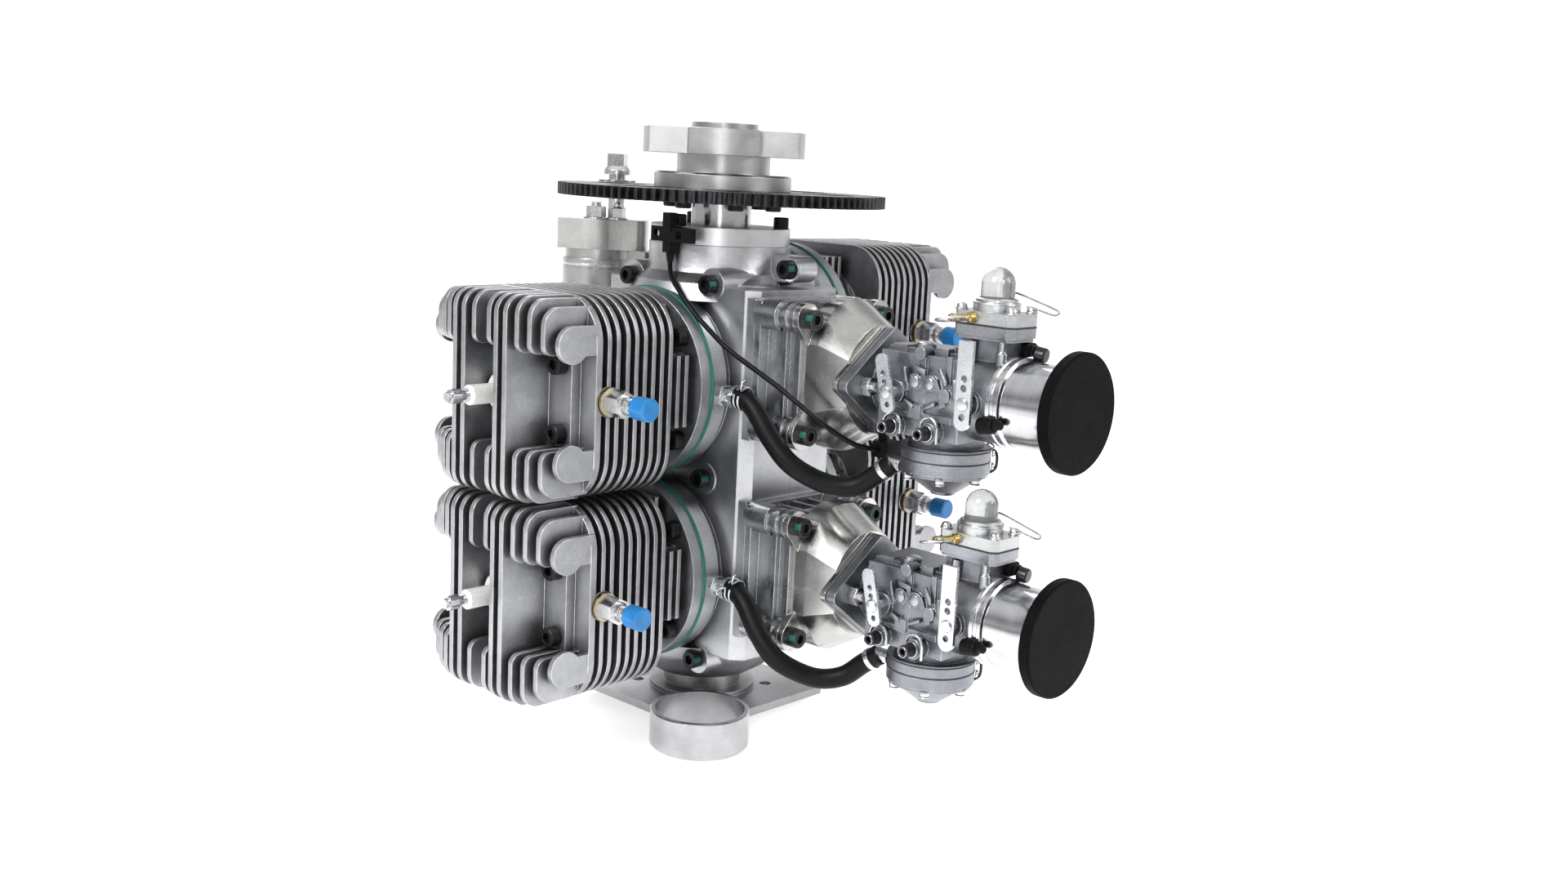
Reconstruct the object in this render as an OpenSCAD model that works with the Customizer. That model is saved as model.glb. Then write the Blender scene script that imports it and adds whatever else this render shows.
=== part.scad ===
// Four-cylinder horizontally opposed two-stroke aircraft engine.
// Millimetres, +Z along the crankshaft towards the propeller flange.
// Origin: centre of the rear mounting plate's back face, on the crankshaft axis.

/* [Cylinders] */
// Height of the crankcase datum above the mounting face
zo = 134; // [132:1:136]
// Height of the left upper cylinder above the datum
z_lu = 51; // [50.5:0.5:51.5]
// How much higher the right bank stands than the left bank
stagger = 23; // [22.5:0.5:23.5]
// Cylinder bore radius
bore_r = 33; // [32:0.5:33]
// Piston stroke
stroke = 40; // [38:1:40]
// Half width of the cooling fins
fin_half = 50; // [49:0.5:50]
// Thickness of one barrel fin
fin_t = 2.3; // [2:0.1:2.6]
// Pitch of the barrel fins
fin_pitch = 5.6; // [5.5:0.1:5.6]

/* [Propeller end] */
// Across the lobes of the propeller flange
prop_d = 88; // [84:1:90]
// Bolt circle of the propeller flange
prop_pcd = 66; // [64:1:68]
// Radius of a propeller bolt hole
prop_hole_r = 4.1; // [3.5:0.1:4.3]
// Teeth on the starter ring
ring_z = 110; // [110]
// Teeth on the starter pinion
pinion_z = 12; // [12]
// Starter gear module
gear_m = 1.6; // [1.6]

/* [Rear mount] */
// Side of the square mounting plate
plate_w = 100; // [98:1:102]
// Mounting plate bolt spacing
plate_bolt = 52; // [50:1:54]
// Inner radius of an isolator cup
cup_r = 23.9; // [23:0.1:24]

/* [Carburettors] */
// Height between the two intake centre lines
carb_pitch = 106.7; // [106:0.1:107]
// Venturi bore radius
carb_r = 14; // [13.8:0.1:14.2]
// Radius of the black intake disc
disc_r = 28.5; // [27:0.5:29]

/* [Hidden] */
$fn = 48;
// side and height of each cylinder: left upper, left lower, right upper, right lower
CY = [[-1, z_lu], [-1, z_lu-102], [1, z_lu+stagger], [1, z_lu-102+stagger]];
// height of each intake centre line
CB = [z_lu+stagger/2, z_lu+stagger/2-carb_pitch];
px0 = 75;           // gudgeon pin distance at half stroke
big = 0.02;

module cyl(i) translate([0,0,zo+CY[i][1]]) rotate([0,CY[i][0]*90,0]) children();
module carb(k) translate([0,0,zo+CB[k]]) children();
// socket head screw, seat at z = 0, head towards +Z
module cap(d=6,l=8,hr=5,hh=6) difference() {
  union() { cylinder(r=hr,h=hh-0.6); translate([0,0,hh-0.6]) cylinder(r1=hr,r2=hr-0.6,h=0.6); translate([0,0,-l]) cylinder(r=d/2,h=l+big); }
  translate([0,0,hh*0.45]) cylinder(r=hr*0.56,h=hh,$fn=6);
}
module hexnut(af=10,h=5,r=3) difference() { cylinder(r=af/1.732,h=h,$fn=6); translate([0,0,-1]) cylinder(r=r,h=h+2); }
module rsq(h,r) union() { square([2*h,2*(h-r)],center=true); square([2*(h-r),2*h],center=true);
  for (a=[-1,1], b=[-1,1]) translate([a*(h-r),b*(h-r)]) circle(r); }
module rrect(w,l,r) union() { square([w,l-2*r],center=true); square([w-2*r,l],center=true);
  for (a=[-1,1], b=[-1,1]) translate([a*(w/2-r),b*(l/2-r)]) circle(r); }

// ---------- crankcase ----------
module case_outer() {
  translate([0,0,-95]) linear_extrude(198) polygon([[-35,-55],[-29,-61],[29,-61],[35,-55],[35,50],[28,58],[-28,58],[-35,50]]);
  for (c=CY) translate([0,0,c[1]]) rotate([0,c[0]*90,0]) rotate_extrude() polygon([[0,18],[44,18],[46,34],[49.6,40],[49.6,49.6],[0,49.6]]);
  rotate_extrude() polygon([[0,95],[49.5,95],[46,104],[40,109],[39,112],[39,123.5],[0,123.5]]);
  rotate_extrude() polygon([[0,-117],[30,-117],[38,-112],[48,-100],[49.5,-94],[0,-94]]);
  // clamp bolt bosses
  for (z=[104,0.5,-100], y=[-31,31]) translate([-35.5,y,z]) rotate([0,90,0]) cylinder(r=8.5,h=71);
  translate([0.3,-53,113]) rotate([0,90,0]) cylinder(r=7,h=14);
  translate([0.3,-50,106]) cube([14,14,14]);
  // intake pads
  for (z=CB) translate([-34,-62,z-37]) cube([68,12,74]);
  // starter foot at the back
  translate([2,50,88]) cube([22,14,22]);
}
module case_inner() {
  for (z=[[34,57],[-68,57]]) translate([0,0,z[0]]) cylinder(r=33.5,h=z[1]);
  for (c=CY) translate([0,0,c[1]]) rotate([0,c[0]*90,0]) translate([0,0,25]) cylinder(r=36.05,h=40);
  translate([0,0,-84]) cylinder(r=14,h=200);
  translate([0,0,110]) cylinder(r=18,h=30);
  for (z=[[93,14],[4,14],[-84,14]]) translate([0,0,z[0]]) cylinder(r=22,h=z[1]);
  for (z=CB) translate([-23,-70,z-23]) cube([46,50,46]);
}
module case_half(s) translate([0,0,zo]) difference() {
  intersection() { case_outer(); translate([s>0?0.15:-80.15,-90,-150]) cube([80,200,300]); }
  case_inner();
}
module crankcase_left() color("silver") case_half(-1);
module crankcase_right() color("silver") case_half(1);
module nose_cover() color("gainsboro") translate([0,0,zo]) difference() {
  union() { translate([0,0,123.5]) cylinder(r=38.3,h=9.5); translate([0,0,117]) cylinder(r=17.9,h=7); }
  translate([0,0,110]) cylinder(r=16.56,h=30);
}
module case_bolts() color("dimgray") translate([0,0,zo]) {
  for (z=[104,0.5,-100], y=[-31,31]) translate([-35.5,y,z]) rotate([0,-90,0]) cap(l=24);
  translate([0.3,-53,113]) rotate([0,-90,0]) cap(l=8);
  for (a=[-47,73,182]) rotate(a) translate([33,0,133]) cap(d=5,l=15,hr=4.2,hh=6);
}
// ---------- rear mount ----------
module mount_plate() color("silver") translate([0,0,zo]) difference() {
  union() {
    translate([0,0,-zo]) linear_extrude(4.5) rrect(plate_w,plate_w,3);
    translate([0,0,-zo+4]) cylinder(r=30,h=3);
    translate([0,0,-zo+4]) cylinder(r=22,h=13);
  }
  for (a=[-1,1]) translate([a*50,a*50,-zo-10]) cylinder(r=26.5,h=30);
  for (x=[-1,1], y=[-1,1]) translate([x*plate_bolt/2,y*plate_bolt/2,-zo-1]) cylinder(r=3.3,h=12);
}
module isolator_cups() color("silver") translate([0,0,zo]) for (a=[-1,1]) translate([a*50,a*50,-139.5]) difference() {
  union() {
    cylinder(r1=25.4,r2=26.5,h=1.4);
    translate([0,0,1.3]) cylinder(r=26.5,h=18.2);
    translate([0,0,19.4]) cylinder(r1=26.5,r2=25.9,h=0.6);
  }
  translate([0,0,-1]) cylinder(r=cup_r,h=22);
}
// ---------- cylinders ----------
module barrel(i) color("lightgray") cyl(i) difference() {
  union() {
    translate([0,0,50.6]) cylinder(r=49.6,h=7.4);
    translate([0,0,39]) cylinder(r=36,h=12);
    translate([0,0,50.6]) cylinder(r=38.5,h=61.4);
    for (z=[61.5,67.1,72.7]) translate([0,0,z]) linear_extrude(fin_t) rsq(43,14);
    for (k=[0:5]) translate([0,0,79.4+k*fin_pitch]) linear_extrude(fin_t) rsq(fin_half,22);
    // exhaust port block
    translate([-16,28,62]) cube([32,26,49]);
  }
  translate([0,0,30]) cylinder(r=bore_r,h=90);
  for (x=[-27,27], y=[-34,34]) translate([x,y,58]) cylinder(r=6.6,h=21);
  // corners of the three small fins are cut away for the screws
  for (x=[-60,18.5]) translate([x,-60,58]) cube([41.5,36,20]);
  for (x=[-60,18.5]) translate([x,24,58]) cube([41.5,36,20]);
  translate([0,54,86]) rotate([90,0,0]) { translate([0,0,-1]) cylinder(r=14,h=13); cylinder(r=12,h=40); }
  for (z=[67,105]) translate([0,55,z]) rotate([90,0,0]) cylinder(r=2.5,h=13);
}
module barrel_left_upper() barrel(0);
module barrel_left_lower() barrel(1);
module barrel_right_upper() barrel(2);
module barrel_right_lower() barrel(3);

// one upright head fin: local x range, top height, corner radius
module finp(x0,x1,h,r0,r1) translate([0,1.5,0]) rotate([90,0,0]) linear_extrude(3) union() {
  translate([x0+r0,126]) square([x1-x0-r0-r1,h-126]);
  translate([x0,126]) square([x1-x0,h-126-max(r0,r1)]);
  translate([x0+r0,h-r0]) circle(r0);
  translate([x1-r1,h-r1]) circle(r1);
  translate([x0,h-max(r0,r1)-0.1]) square([r0,max(r0,r1)-r0+0.1]);
  translate([x1-r1,h-max(r0,r1)-0.1]) square([r1,max(r0,r1)-r1+0.1]);
}
module head(i) color("lightgray") cyl(i) difference() {
  union() {
    translate([0,0,112]) cylinder(r=44,h=8);
    translate([0,0,112]) cylinder(r=38.5,h=15);
    for (z=[113.6,119.2]) translate([0,0,z]) linear_extrude(fin_t) rsq(fin_half,22);
    translate([0,0,124.8]) linear_extrude(3.6) rsq(fin_half,22);
    translate([0,0,124]) cylinder(r=14.5,h=11);
    // raised pads that carry the head screws
    for (y=[-38.5,21.5]) translate([-23.5,y,124.8]) cube([47,17,9.2]);
    for (s=[-1,1]) {
      for (v=[[13,50,160],[20,50,160]]) translate([0,s*v[0],0]) finp(-v[1],v[1],v[2],9,9);
      for (v=[[27,50,158.5],[34,49.2,156.5],[41,45.7,154],[48,37.3,151]], t=[-1,1])
        translate([0,s*v[0],0]) if (t>0) finp(23,v[1],v[2],5,9); else finp(-v[1],-23,v[2],9,5);
      for (t=[-1,1]) translate([0,s*6,0]) if (t>0) finp(24,50,159,5,9); else finp(-50,-24,159,9,5);
    }
    // decompression valve boss
    translate([0,-28,119.6]) rotate([90,0,0]) cylinder(r=7.4,h=21);
  }
  // combustion chamber and plug hole
  rotate_extrude() polygon([[0,111],[33.4,111],[33.4,113.6],[26,114.4],[16,119],[0,120.5]]);
  translate([0,0,110]) cylinder(r=7,h=30);
  translate([0,-20,119.6]) rotate([90,0,0]) cylinder(r=4,h=40);
  translate([0,-49,119.6]) rotate([90,0,0]) cylinder(r=7.6,h=10);
  for (x=[-17,17], y=[-31,31]) translate([x,y,134]) cylinder(r=6.2,h=40);
}
module head_left_upper() head(0);
module head_left_lower() head(1);
module head_right_upper() head(2);
module head_right_lower() head(3);
module cylinder_bolts() color("dimgray") for (i=[0:3]) cyl(i) {
  for (x=[-27,27], y=[-34,34]) translate([x,y,58]) cap(l=16);
  for (x=[-17,17], y=[-31,31]) translate([x,y,134]) cap(l=12);
}
module gaskets() {
  color("teal") for (i=[0:3]) cyl(i) translate([0,0,49.6]) difference() { cylinder(r=50,h=1); translate([0,0,-1]) cylinder(r=36.05,h=3); }
  color("dimgray") for (k=[0,1]) carb(k) translate([0,-121,0]) rotate([90,0,0]) linear_extrude(1.5) difference() { flange2d(36,27.5,4); circle(carb_r); }
}
module spark_plugs() for (i=[0:3]) cyl(i) {
  color("silver") { translate([0,0,121]) cylinder(r=6.9,h=15); translate([0,0,135]) cylinder(r=10,h=2);
    translate([0,0,137]) cylinder(r=12,h=9,$fn=6); translate([0,0,146]) cylinder(r=9.4,h=1.8); }
  color("white") { translate([0,0,147.8]) cylinder(r=5.6,h=2.2); translate([0,0,150]) cylinder(r=5,h=15.5); translate([0,0,165.5]) cylinder(r1=5,r2=3.4,h=1.5); }
  color("silver") { translate([0,0,167]) cylinder(r=2.2,h=6); translate([0,0,171]) cylinder(r=3.6,h=5.5); translate([0,0,176.5]) cylinder(r=2.4,h=2); }
}
// ---------- crank train ----------
module pin(z0,z1,a) rotate(a) translate([20,0,z0]) cylinder(r=9,h=z1-z0);
module crankshaft() color("slategray") translate([0,0,zo]) {
  difference() {
    union() {
      translate([0,0,89]) cylinder(r=12.5,h=22);
      translate([0,0,111]) cylinder(r=16.5,h=35.4);
      translate([0,0,146.3]) cylinder(r=10,h=29);
      translate([0,0,-13.1]) cylinder(r=12.5,h=49.2);
      translate([0,0,-83.5]) cylinder(r=12.5,h=17.6);
      for (w=[[82,7],[59,7],[36,7],[-20,7],[-43,7],[-66,7]]) translate([0,0,w[0]]) cylinder(r=31,h=w[1]);
      pin(65.9,82.1,90); pin(42.9,59.1,-90); pin(-36.1,-19.9,90); pin(-59.1,-42.9,-90);
    }
    // lightening cuts opposite nothing that carries load
    for (w=[[82,90],[36,-90],[-20,90],[-66,-90]]) rotate(w[1]) for (t=[-1,1]) translate([20,t*19,w[0]-1]) cylinder(r=5,h=9);
  }
  // connecting rod big ends with their shells, which stay on the pins
  for (v=[[67,90],[44,-90],[-35,90],[-58,-90]]) rotate(v[1]) translate([20,0,v[0]]) difference() { cylinder(r=12.5,h=14); translate([0,0,-1]) cylinder(r=9,h=16); }
}
module main_bearings() color("lightsteelblue") translate([0,0,zo]) for (z=[93,4,-84]) translate([0,0,z]) difference() {
  cylinder(r=22,h=14); translate([0,0,-1]) cylinder(r=12.56,h=16);
  for (e=[-1,12.5]) translate([0,0,e]) difference() { cylinder(r=19,h=2.5); translate([0,0,-1]) cylinder(r=15.5,h=5); }
}
module piston(i) color("gainsboro") cyl(i) difference() {
  union() {
    translate([0,0,58]) cylinder(r=bore_r-0.06,h=24);
    translate([0,0,82]) cylinder(r=bore_r-1.2,h=10);
    for (z=[83.6,87.6]) translate([0,0,z]) cylinder(r=bore_r-0.04,h=1.6);
    translate([0,0,91]) cylinder(r1=bore_r-1.2,r2=bore_r-3,h=2);
  }
  translate([0,0,57]) cylinder(r=28,h=29);
  translate([0,0,75]) rotate([0,90,0]) cylinder(r=8,h=80,center=true);
  for (s=[-1,1]) translate([-36,s*30-9,56]) cube([72,18,8]);
}
module piston_left_upper() piston(0);
module piston_left_lower() piston(1);
module piston_right_upper() piston(2);
module piston_right_lower() piston(3);
// small end, shank and gudgeon pin; the big end stays on the crankpin
module conrod(i) color("slategray") cyl(i) {
  translate([0,0,75]) rotate([0,90,0]) difference() { cylinder(r=8,h=62,center=true); cylinder(r=4.5,h=70,center=true); }
  difference() {
    union() {
      translate([0,0,75]) rotate([0,90,0]) cylinder(r=10.9,h=14,center=true);
      translate([-4.5,-7.5,53.5]) cube([9,15,14.5]);
    }
    translate([0,0,75]) rotate([0,90,0]) cylinder(r=8,h=80,center=true);
    for (s=[-1,1]) translate([s*4.5-1.5,-4.5,50]) cube([3,9,11]);
  }
}
module conrod_left_upper() conrod(0);
module conrod_left_lower() conrod(1);
module conrod_right_upper() conrod(2);
module conrod_right_lower() conrod(3);

// ---------- propeller end ----------
module prop_hub() color("gainsboro") translate([0,0,zo]) difference() {
  union() {
    translate([0,0,146.4]) cylinder(r=19.9,h=7);
    translate([0,0,152.9]) cylinder(r=37.5,h=7.3);
    translate([0,0,160.2]) cylinder(r1=37.5,r2=36,h=1);
    translate([0,0,161]) cylinder(r=25.4,h=10.2);
    translate([0,0,171]) intersection() {
      cylinder(r=prop_d/2,h=13.5);
      rotate(45) union() { cylinder(r=27,h=13.5); translate([-50,-18.5,0]) cube([100,37,13.5]); translate([-18.5,-50,0]) cube([37,100,13.5]); }
    }
    translate([0,0,184.4]) cylinder(r=18,h=3.6);
  }
  translate([0,0,140]) cylinder(r=10,h=50);
  translate([0,0,180]) cylinder(r=12,h=10);
  for (a=[45:90:315]) rotate(a) translate([prop_pcd/2,0,170]) cylinder(r=prop_hole_r,h=20);
}
function gear_pts(z,rp,ra,rr,tp,ta,tr) = [for (i=[0:z-1], q=[[rr,-tr],[rp,-tp],[ra,-ta],[ra,ta],[rp,tp],[rr,tr]])
  let(a=360*i/z + q[1]/2/q[0]*57.29578) [q[0]*cos(a), q[0]*sin(a)]];
ring_rp = ring_z*gear_m/2;
pin_rp = pinion_z*gear_m/2;
pin_d = ring_rp+pin_rp;
pin_a = 85.3;       // direction of the pinion axis from the crankshaft
module ring_gear() color("dimgray") translate([0,0,zo+146.5]) rotate(pin_a) difference() {
  linear_extrude(6.3) polygon(gear_pts(ring_z,ring_rp,ring_rp+1.4,ring_rp-2,2.2,1.3,3.0));
  translate([0,0,-1]) cylinder(r=20,h=9);
  for (a=[0:60:300]) rotate(a+30) translate([60,0,-1]) cylinder(r=15,h=9);
  for (a=[0:60:300]) rotate(a-pin_a) translate([29,0,-1]) cylinder(r=3,h=9);
}
module hub_fasteners() color("dimgray") translate([0,0,zo]) {
  translate([0,0,180]) hexnut(af=18,h=7,r=8);
  translate([0,0,175.4]) cylinder(r=8,h=12);
  for (a=[0:60:300]) rotate(a) translate([29,0,146.5]) rotate([180,0,0]) cap(d=5,l=11,hr=4.4,hh=4.5);
}
// ---------- intake ----------
module flange2d(a,b,r) hull() { translate([a-r,0]) circle(r,$fn=32); translate([-a+r,0]) circle(r,$fn=32); translate([0,b-r]) circle(r,$fn=32); translate([0,-b+r]) circle(r,$fn=32); }
module intake_housing(k) color("silver") carb(k) difference() {
  union() {
    translate([-34,-66,-36]) cube([68,4,72]);
    translate([-27.2,-90,-30.5]) cube([54.4,26,61]);
    // stiffening ring and end flange
    translate([-30.4,-81.4,-33]) cube([60.8,2.8,66]);
    translate([-29.2,-90,-33.4]) cube([58.4,2.4,66.8]);
    for (x=[-12,0,12]) translate([x-1,-90,-34]) cube([2,26,68]);
    // stepped bolt columns
    for (x=[-28,28], z=[-29.5,29.5]) translate([x,-62,z]) rotate([90,0,0]) {
      cylinder(r=8,h=15.5);
      cylinder(r=6.6,h=28);
      translate([0,0,20]) cylinder(r=7.6,h=2.6);
      translate([0,0,26]) cylinder(r=8,h=2);
    }
  }
  translate([-23,-100,-23]) cube([46,50,46]);
}
module intake_housing_upper() intake_housing(0);
module intake_housing_lower() intake_housing(1);
module reed_valves() color("darkslategray") for (k=[0,1]) carb(k) {
  difference() {
    translate([-22.5,0,0]) rotate([90,0,90]) linear_extrude(45) polygon([[-89.9,-22.5],[-86,-22.5],[-86,-18],[-52,-2],[-52,2],[-86,18],[-86,22.5],[-89.9,22.5]]);
    translate([-19,0,0]) rotate([90,0,90]) linear_extrude(38) polygon([[-91,-15],[-85,-15],[-56,-1.2],[-56,1.2],[-85,15],[-91,15]]);
    for (x=[-9.7,9.7]) translate([x-7.5,-82,-20]) cube([15,20,40]);
  }
  // four flexible petals
  for (s=[-1,1], x=[-9.7,9.7]) translate([x-8.5,-86,s*18]) rotate([s*-25.2,0,0]) translate([0,0.5,s>0?0.1:-0.5]) cube([17,34,0.4]);
}
function half_outline(p) = concat(p,[for (i=[len(p)-2:-1:0]) [-p[i][0],p[i][1]]]);
function outline(p) = let(h=half_outline(p)) concat(h,[for (i=[len(h)-1:-1:0]) [h[i][0],-h[i][1]]]);
adaptor_root = outline([[27,17],[20.6,28.2],[18.8,29.4],[17.2,33],[13.2,36.5],[7.4,38.6],[0,39.2]]);
adaptor_tip = outline([[25,11.5],[20.8,17.4],[19.2,18.6],[17.2,20.9],[13.2,24.2],[7.4,27],[0,28.2]]);
module carb_adaptors() color("silver") for (k=[0,1]) carb(k) difference() {
  union() {
    // ears under the bolt heads
    translate([0,-90,0]) rotate([90,0,0]) linear_extrude(3.5) union() {
      square([54,56],center=true);
      for (x=[-1,1], z=[-1,1]) hull() { translate([x*28,z*29.5]) circle(8,$fn=48); translate([x*16,z*17]) circle(9,$fn=48); }
    }
    translate([0,-90,0]) rotate([90,0,0]) linear_extrude(9.6) polygon(adaptor_root);
    hull() {
      translate([0,-99.5,0]) rotate([90,0,0]) linear_extrude(0.2) polygon(adaptor_root);
      translate([0,-118,0]) rotate([90,0,0]) linear_extrude(0.4) polygon(adaptor_tip);
    }
    translate([0,-118,0]) rotate([90,0,0]) linear_extrude(3) flange2d(36,27.5,4);
  }
  translate([0,-80,0]) rotate([90,0,0]) cylinder(r=carb_r,h=50);
  translate([0,-89,0]) rotate([90,0,0]) cylinder(r=20,h=12);
  for (x=[-28,28], z=[-29.5,29.5]) translate([x,-93.5,z]) rotate([90,0,0]) cylinder(r=6.2,h=20);
}
module intake_fasteners() {
  color("dimgray") for (k=[0,1]) carb(k) {
    for (x=[-28,28], z=[-29.5,29.5]) translate([x,-93.5,z]) rotate([90,0,0]) cap(l=10);
    // mixture and idle screws
    for (v=[[-146.5,-23.4],[-169.7,-25.4]]) translate([v[1],v[0],-17]) rotate([0,-90,0]) cap(d=4,l=6,hr=3.2,hh=7.5);
    // metering cover screws
    for (a=[30:60:330]) translate([0,-163,-40.2]) rotate(a) translate([19,0,0]) rotate([180,0,0]) cap(d=3,l=6,hr=2.6,hh=2.2);
    // pump cover screws
    for (x=[-1,1], y=[-1,1]) translate([x*8.2,-187+y*14.3,42.1]) cap(d=3,l=8,hr=2.4,hh=2.4);
  }
  // carburettor studs and nuts
  color("silver") for (k=[0,1]) carb(k) for (x=[-21,21]) translate([x,-127.5,0]) rotate([90,0,0]) { cylinder(r=2.5,h=7); hexnut(af=9,h=4.5,r=2.5); translate([0,0,-14]) cylinder(r=2.5,h=14.5); }
}
module carb_body(k) color("darkgray") carb(k) difference() {
  union() {
    translate([0,-122.5,0]) rotate([90,0,0]) linear_extrude(5) flange2d(36,27.5,4);
    translate([0,-122.5,0]) rotate([90,0,0]) cylinder(r=16.6,h=77);
    translate([0,-134.5,0]) rotate([90,0,0]) cylinder(r=20.5,h=65);
    translate([-19,-183,-21]) cube([38,48.5,40]);
    translate([0,-163,-32]) cylinder(r=22.2,h=6.2);
    translate([0,-163,-28]) cylinder(r=18.6,h=12);
    // shaft bosses
    for (y=[-146.5,-190.5]) translate([-23,y,0]) rotate([0,90,0]) cylinder(r=5.9,h=46);
    // adjusting screw bosses
    translate([-23.4,-146.5,-17]) rotate([0,90,0]) cylinder(r=5.2,h=14);
    translate([-25.4,-169.7,-17]) rotate([0,90,0]) cylinder(r=5.2,h=16);
    for (y=[-157,-166]) translate([-21.2,y,6]) rotate([0,90,0]) cylinder(r=4,h=30);
    translate([-20.5,-180,-12]) cube([4,44,3]);
    translate([-20.5,-163,-10]) cube([4,3,28]);
    translate([-20.5,-178,3]) cube([4,3,17]);
    translate([-14,-178,16]) cube([28,43,5]);
    // arched boss and lugs on top, ribs on the near side
    translate([-10,-154.3,16]) cylinder(r=5.2,h=7.4);
    translate([-15,-146.5,17]) cube([11,8.5,5.2]);
    translate([-16.5,-172.5,15]) cube([9,7,8]);
    translate([-21.8,-177,-3.4]) rotate([-28,0,0]) cube([4,3,14]);
    translate([-21.6,-162,-11.5]) cube([4,7,6.5]);
    translate([-22.2,-151.9,3.5]) rotate([0,90,0]) cylinder(r=2.6,h=8);
    translate([-22.2,-175.6,1.4]) rotate([0,90,0]) cylinder(r=3.4,h=8);
    // pump pedestal
    translate([-8,-199.4,15]) cube([18,25.4,13.9]);
    translate([-11,-182,15]) cube([20,10,9]);
    // fuel inlet and pulse bosses
    translate([10,-155,10]) rotate([0,90,0]) cylinder(r=5,h=16);
    translate([-14,-160,20]) rotate([0,-90,0]) cylinder(r=3.2,h=8);
  }
  translate([0,-110,0]) rotate([90,0,0]) cylinder(r=carb_r,h=100);
  for (y=[-146.5,-190.5]) translate([0,y,0]) rotate([0,90,0]) cylinder(r=3.06,h=80,center=true);
}
module carb_body_upper() carb_body(0);
module carb_body_lower() carb_body(1);
module chamfered(a,b,c) polygon([[-a,-b+c],[-a+c,-b],[a-c,-b],[a,-b+c],[a,b-c],[a-c,b],[-a+c,b],[-a,b-c]]);
module pump_covers() color("whitesmoke") for (k=[0,1]) carb(k) translate([0,-187,0]) difference() {
  union() {
    translate([0,0,28.9]) linear_extrude(1.6) chamfered(10.5,16.3,2.5);
    translate([0,0,30.5]) linear_extrude(5) chamfered(11.5,17.3,3);
    translate([0,0,35.4]) linear_extrude(0.8) chamfered(11.1,16.9,3);
    translate([0,0,36.1]) linear_extrude(6) chamfered(11.5,17.3,3);
    translate([0,0,42]) cylinder(r=11.2,h=3.6);
    translate([0,0,45.5]) cylinder(r=9.9,h=2.3);
    translate([-10.6,4,39]) rotate(-26) rotate([0,-90,0]) { cylinder(r=2,h=4); cylinder(r=1.5,h=13); translate([0,0,11]) cylinder(r=2,h=2); }
  }
  translate([0,0,40.5]) cylinder(r=8.4,h=10);
}
module metering_covers() color("silver") for (k=[0,1]) carb(k) translate([0,-163,0]) difference() {
  union() {
    translate([0,0,-32.6]) cylinder(r=21.7,h=0.6);
    translate([0,0,-38.6]) cylinder(r=22.2,h=6);
    translate([0,0,-40.2]) cylinder(r=21.2,h=1.8);
    translate([0,0,-48.6]) cylinder(r1=8,r2=19.5,h=8.5);
    translate([0,0,-50.4]) cylinder(r1=6,r2=7,h=2);
    // a flat round each screw
    for (a=[30:60:330]) rotate(a) translate([19,0,-40.2]) cylinder(r=3,h=1);
  }
  translate([0,0,-51]) cylinder(r=2,h=5);
  for (a=[30:60:330]) rotate(a) translate([19,0,-50]) cylinder(r=3.2,h=9.8);
}
module throttle(k) color("lightgray") carb(k) translate([0,-146.5,0]) difference() {
  union() {
    translate([-29.6,0,0]) rotate([0,90,0]) cylinder(r=3,h=53.6);
    rotate([90,0,0]) cylinder(r=carb_r-0.6,h=1.6,center=true);
    rotate([-13.8,0,0]) {
      translate([-29.6,-3.8,-6.5]) cube([1.8,7.6,21.5]);
      for (z=[-6.5,15]) translate([-29.6,0,z]) rotate([0,90,0]) cylinder(r=3.8,h=1.8);
    }
  }
  rotate([-13.8,0,0]) for (z=[-6,4.9,9.2]) translate([-35,0,z]) rotate([0,90,0]) cylinder(r=1.4,h=10);
  translate([-30,0,0]) rotate([0,90,0]) cylinder(r=1.4,h=2);
}
module throttle_upper() throttle(0);
module throttle_lower() throttle(1);
module choke(k) color("lightgray") carb(k) translate([0,-190.5,0]) difference() {
  union() {
    translate([-27.2,0,0]) rotate([0,90,0]) cylinder(r=3,h=51);
    cylinder(r=carb_r-0.6,h=1.6,center=true);
    translate([-27.2,-4,-8]) cube([1.8,8.4,37.6]);
    translate([-27.2,0,-8]) rotate([0,90,0]) cylinder(r=4.4,h=1.8);
    translate([-27.2,-4.4,-8]) cube([1.8,8.8,20]);
  }
  for (z=[-6,7.5,12]) translate([-30,0,z]) rotate([0,90,0]) cylinder(r=1.7,h=8);
  translate([-28,0,0]) rotate([0,90,0]) cylinder(r=1.5,h=2);
}
module choke_upper() choke(0);
module choke_lower() choke(1);
module primer_bulb(k) color([0.9,0.95,0.95,0.6]) carb(k) translate([0,-187,0]) {
  translate([0,0,44]) cylinder(r=8.1,h=10.9);
  difference() { translate([0,0,54.8]) sphere(r=8.1); translate([-20,-20,30]) cube([40,40,24.8]); }
}
module primer_bulb_upper() primer_bulb(0);
module primer_bulb_lower() primer_bulb(1);
module intake_trumpets() color("gainsboro") for (k=[0,1]) carb(k) rotate([90,0,0]) rotate_extrude()
  polygon([[18,199.5],[22,199.5],[22,201.5],[21.2,202],[21.2,203.6],[22,204.1],[22,206],[20.6,206.8],[20.5,225],[21.5,232],[19,232],[18,225]]);
module intake_discs() color("black") for (k=[0,1]) carb(k) rotate([90,0,0]) rotate_extrude()
  polygon([[0,232],[disc_r-0.8,232],[disc_r,232.8],[disc_r,237.2],[disc_r-0.8,238],[0,238]]);

// ---------- hoses and cable ----------
function unit(v) = v/norm(v);
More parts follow.
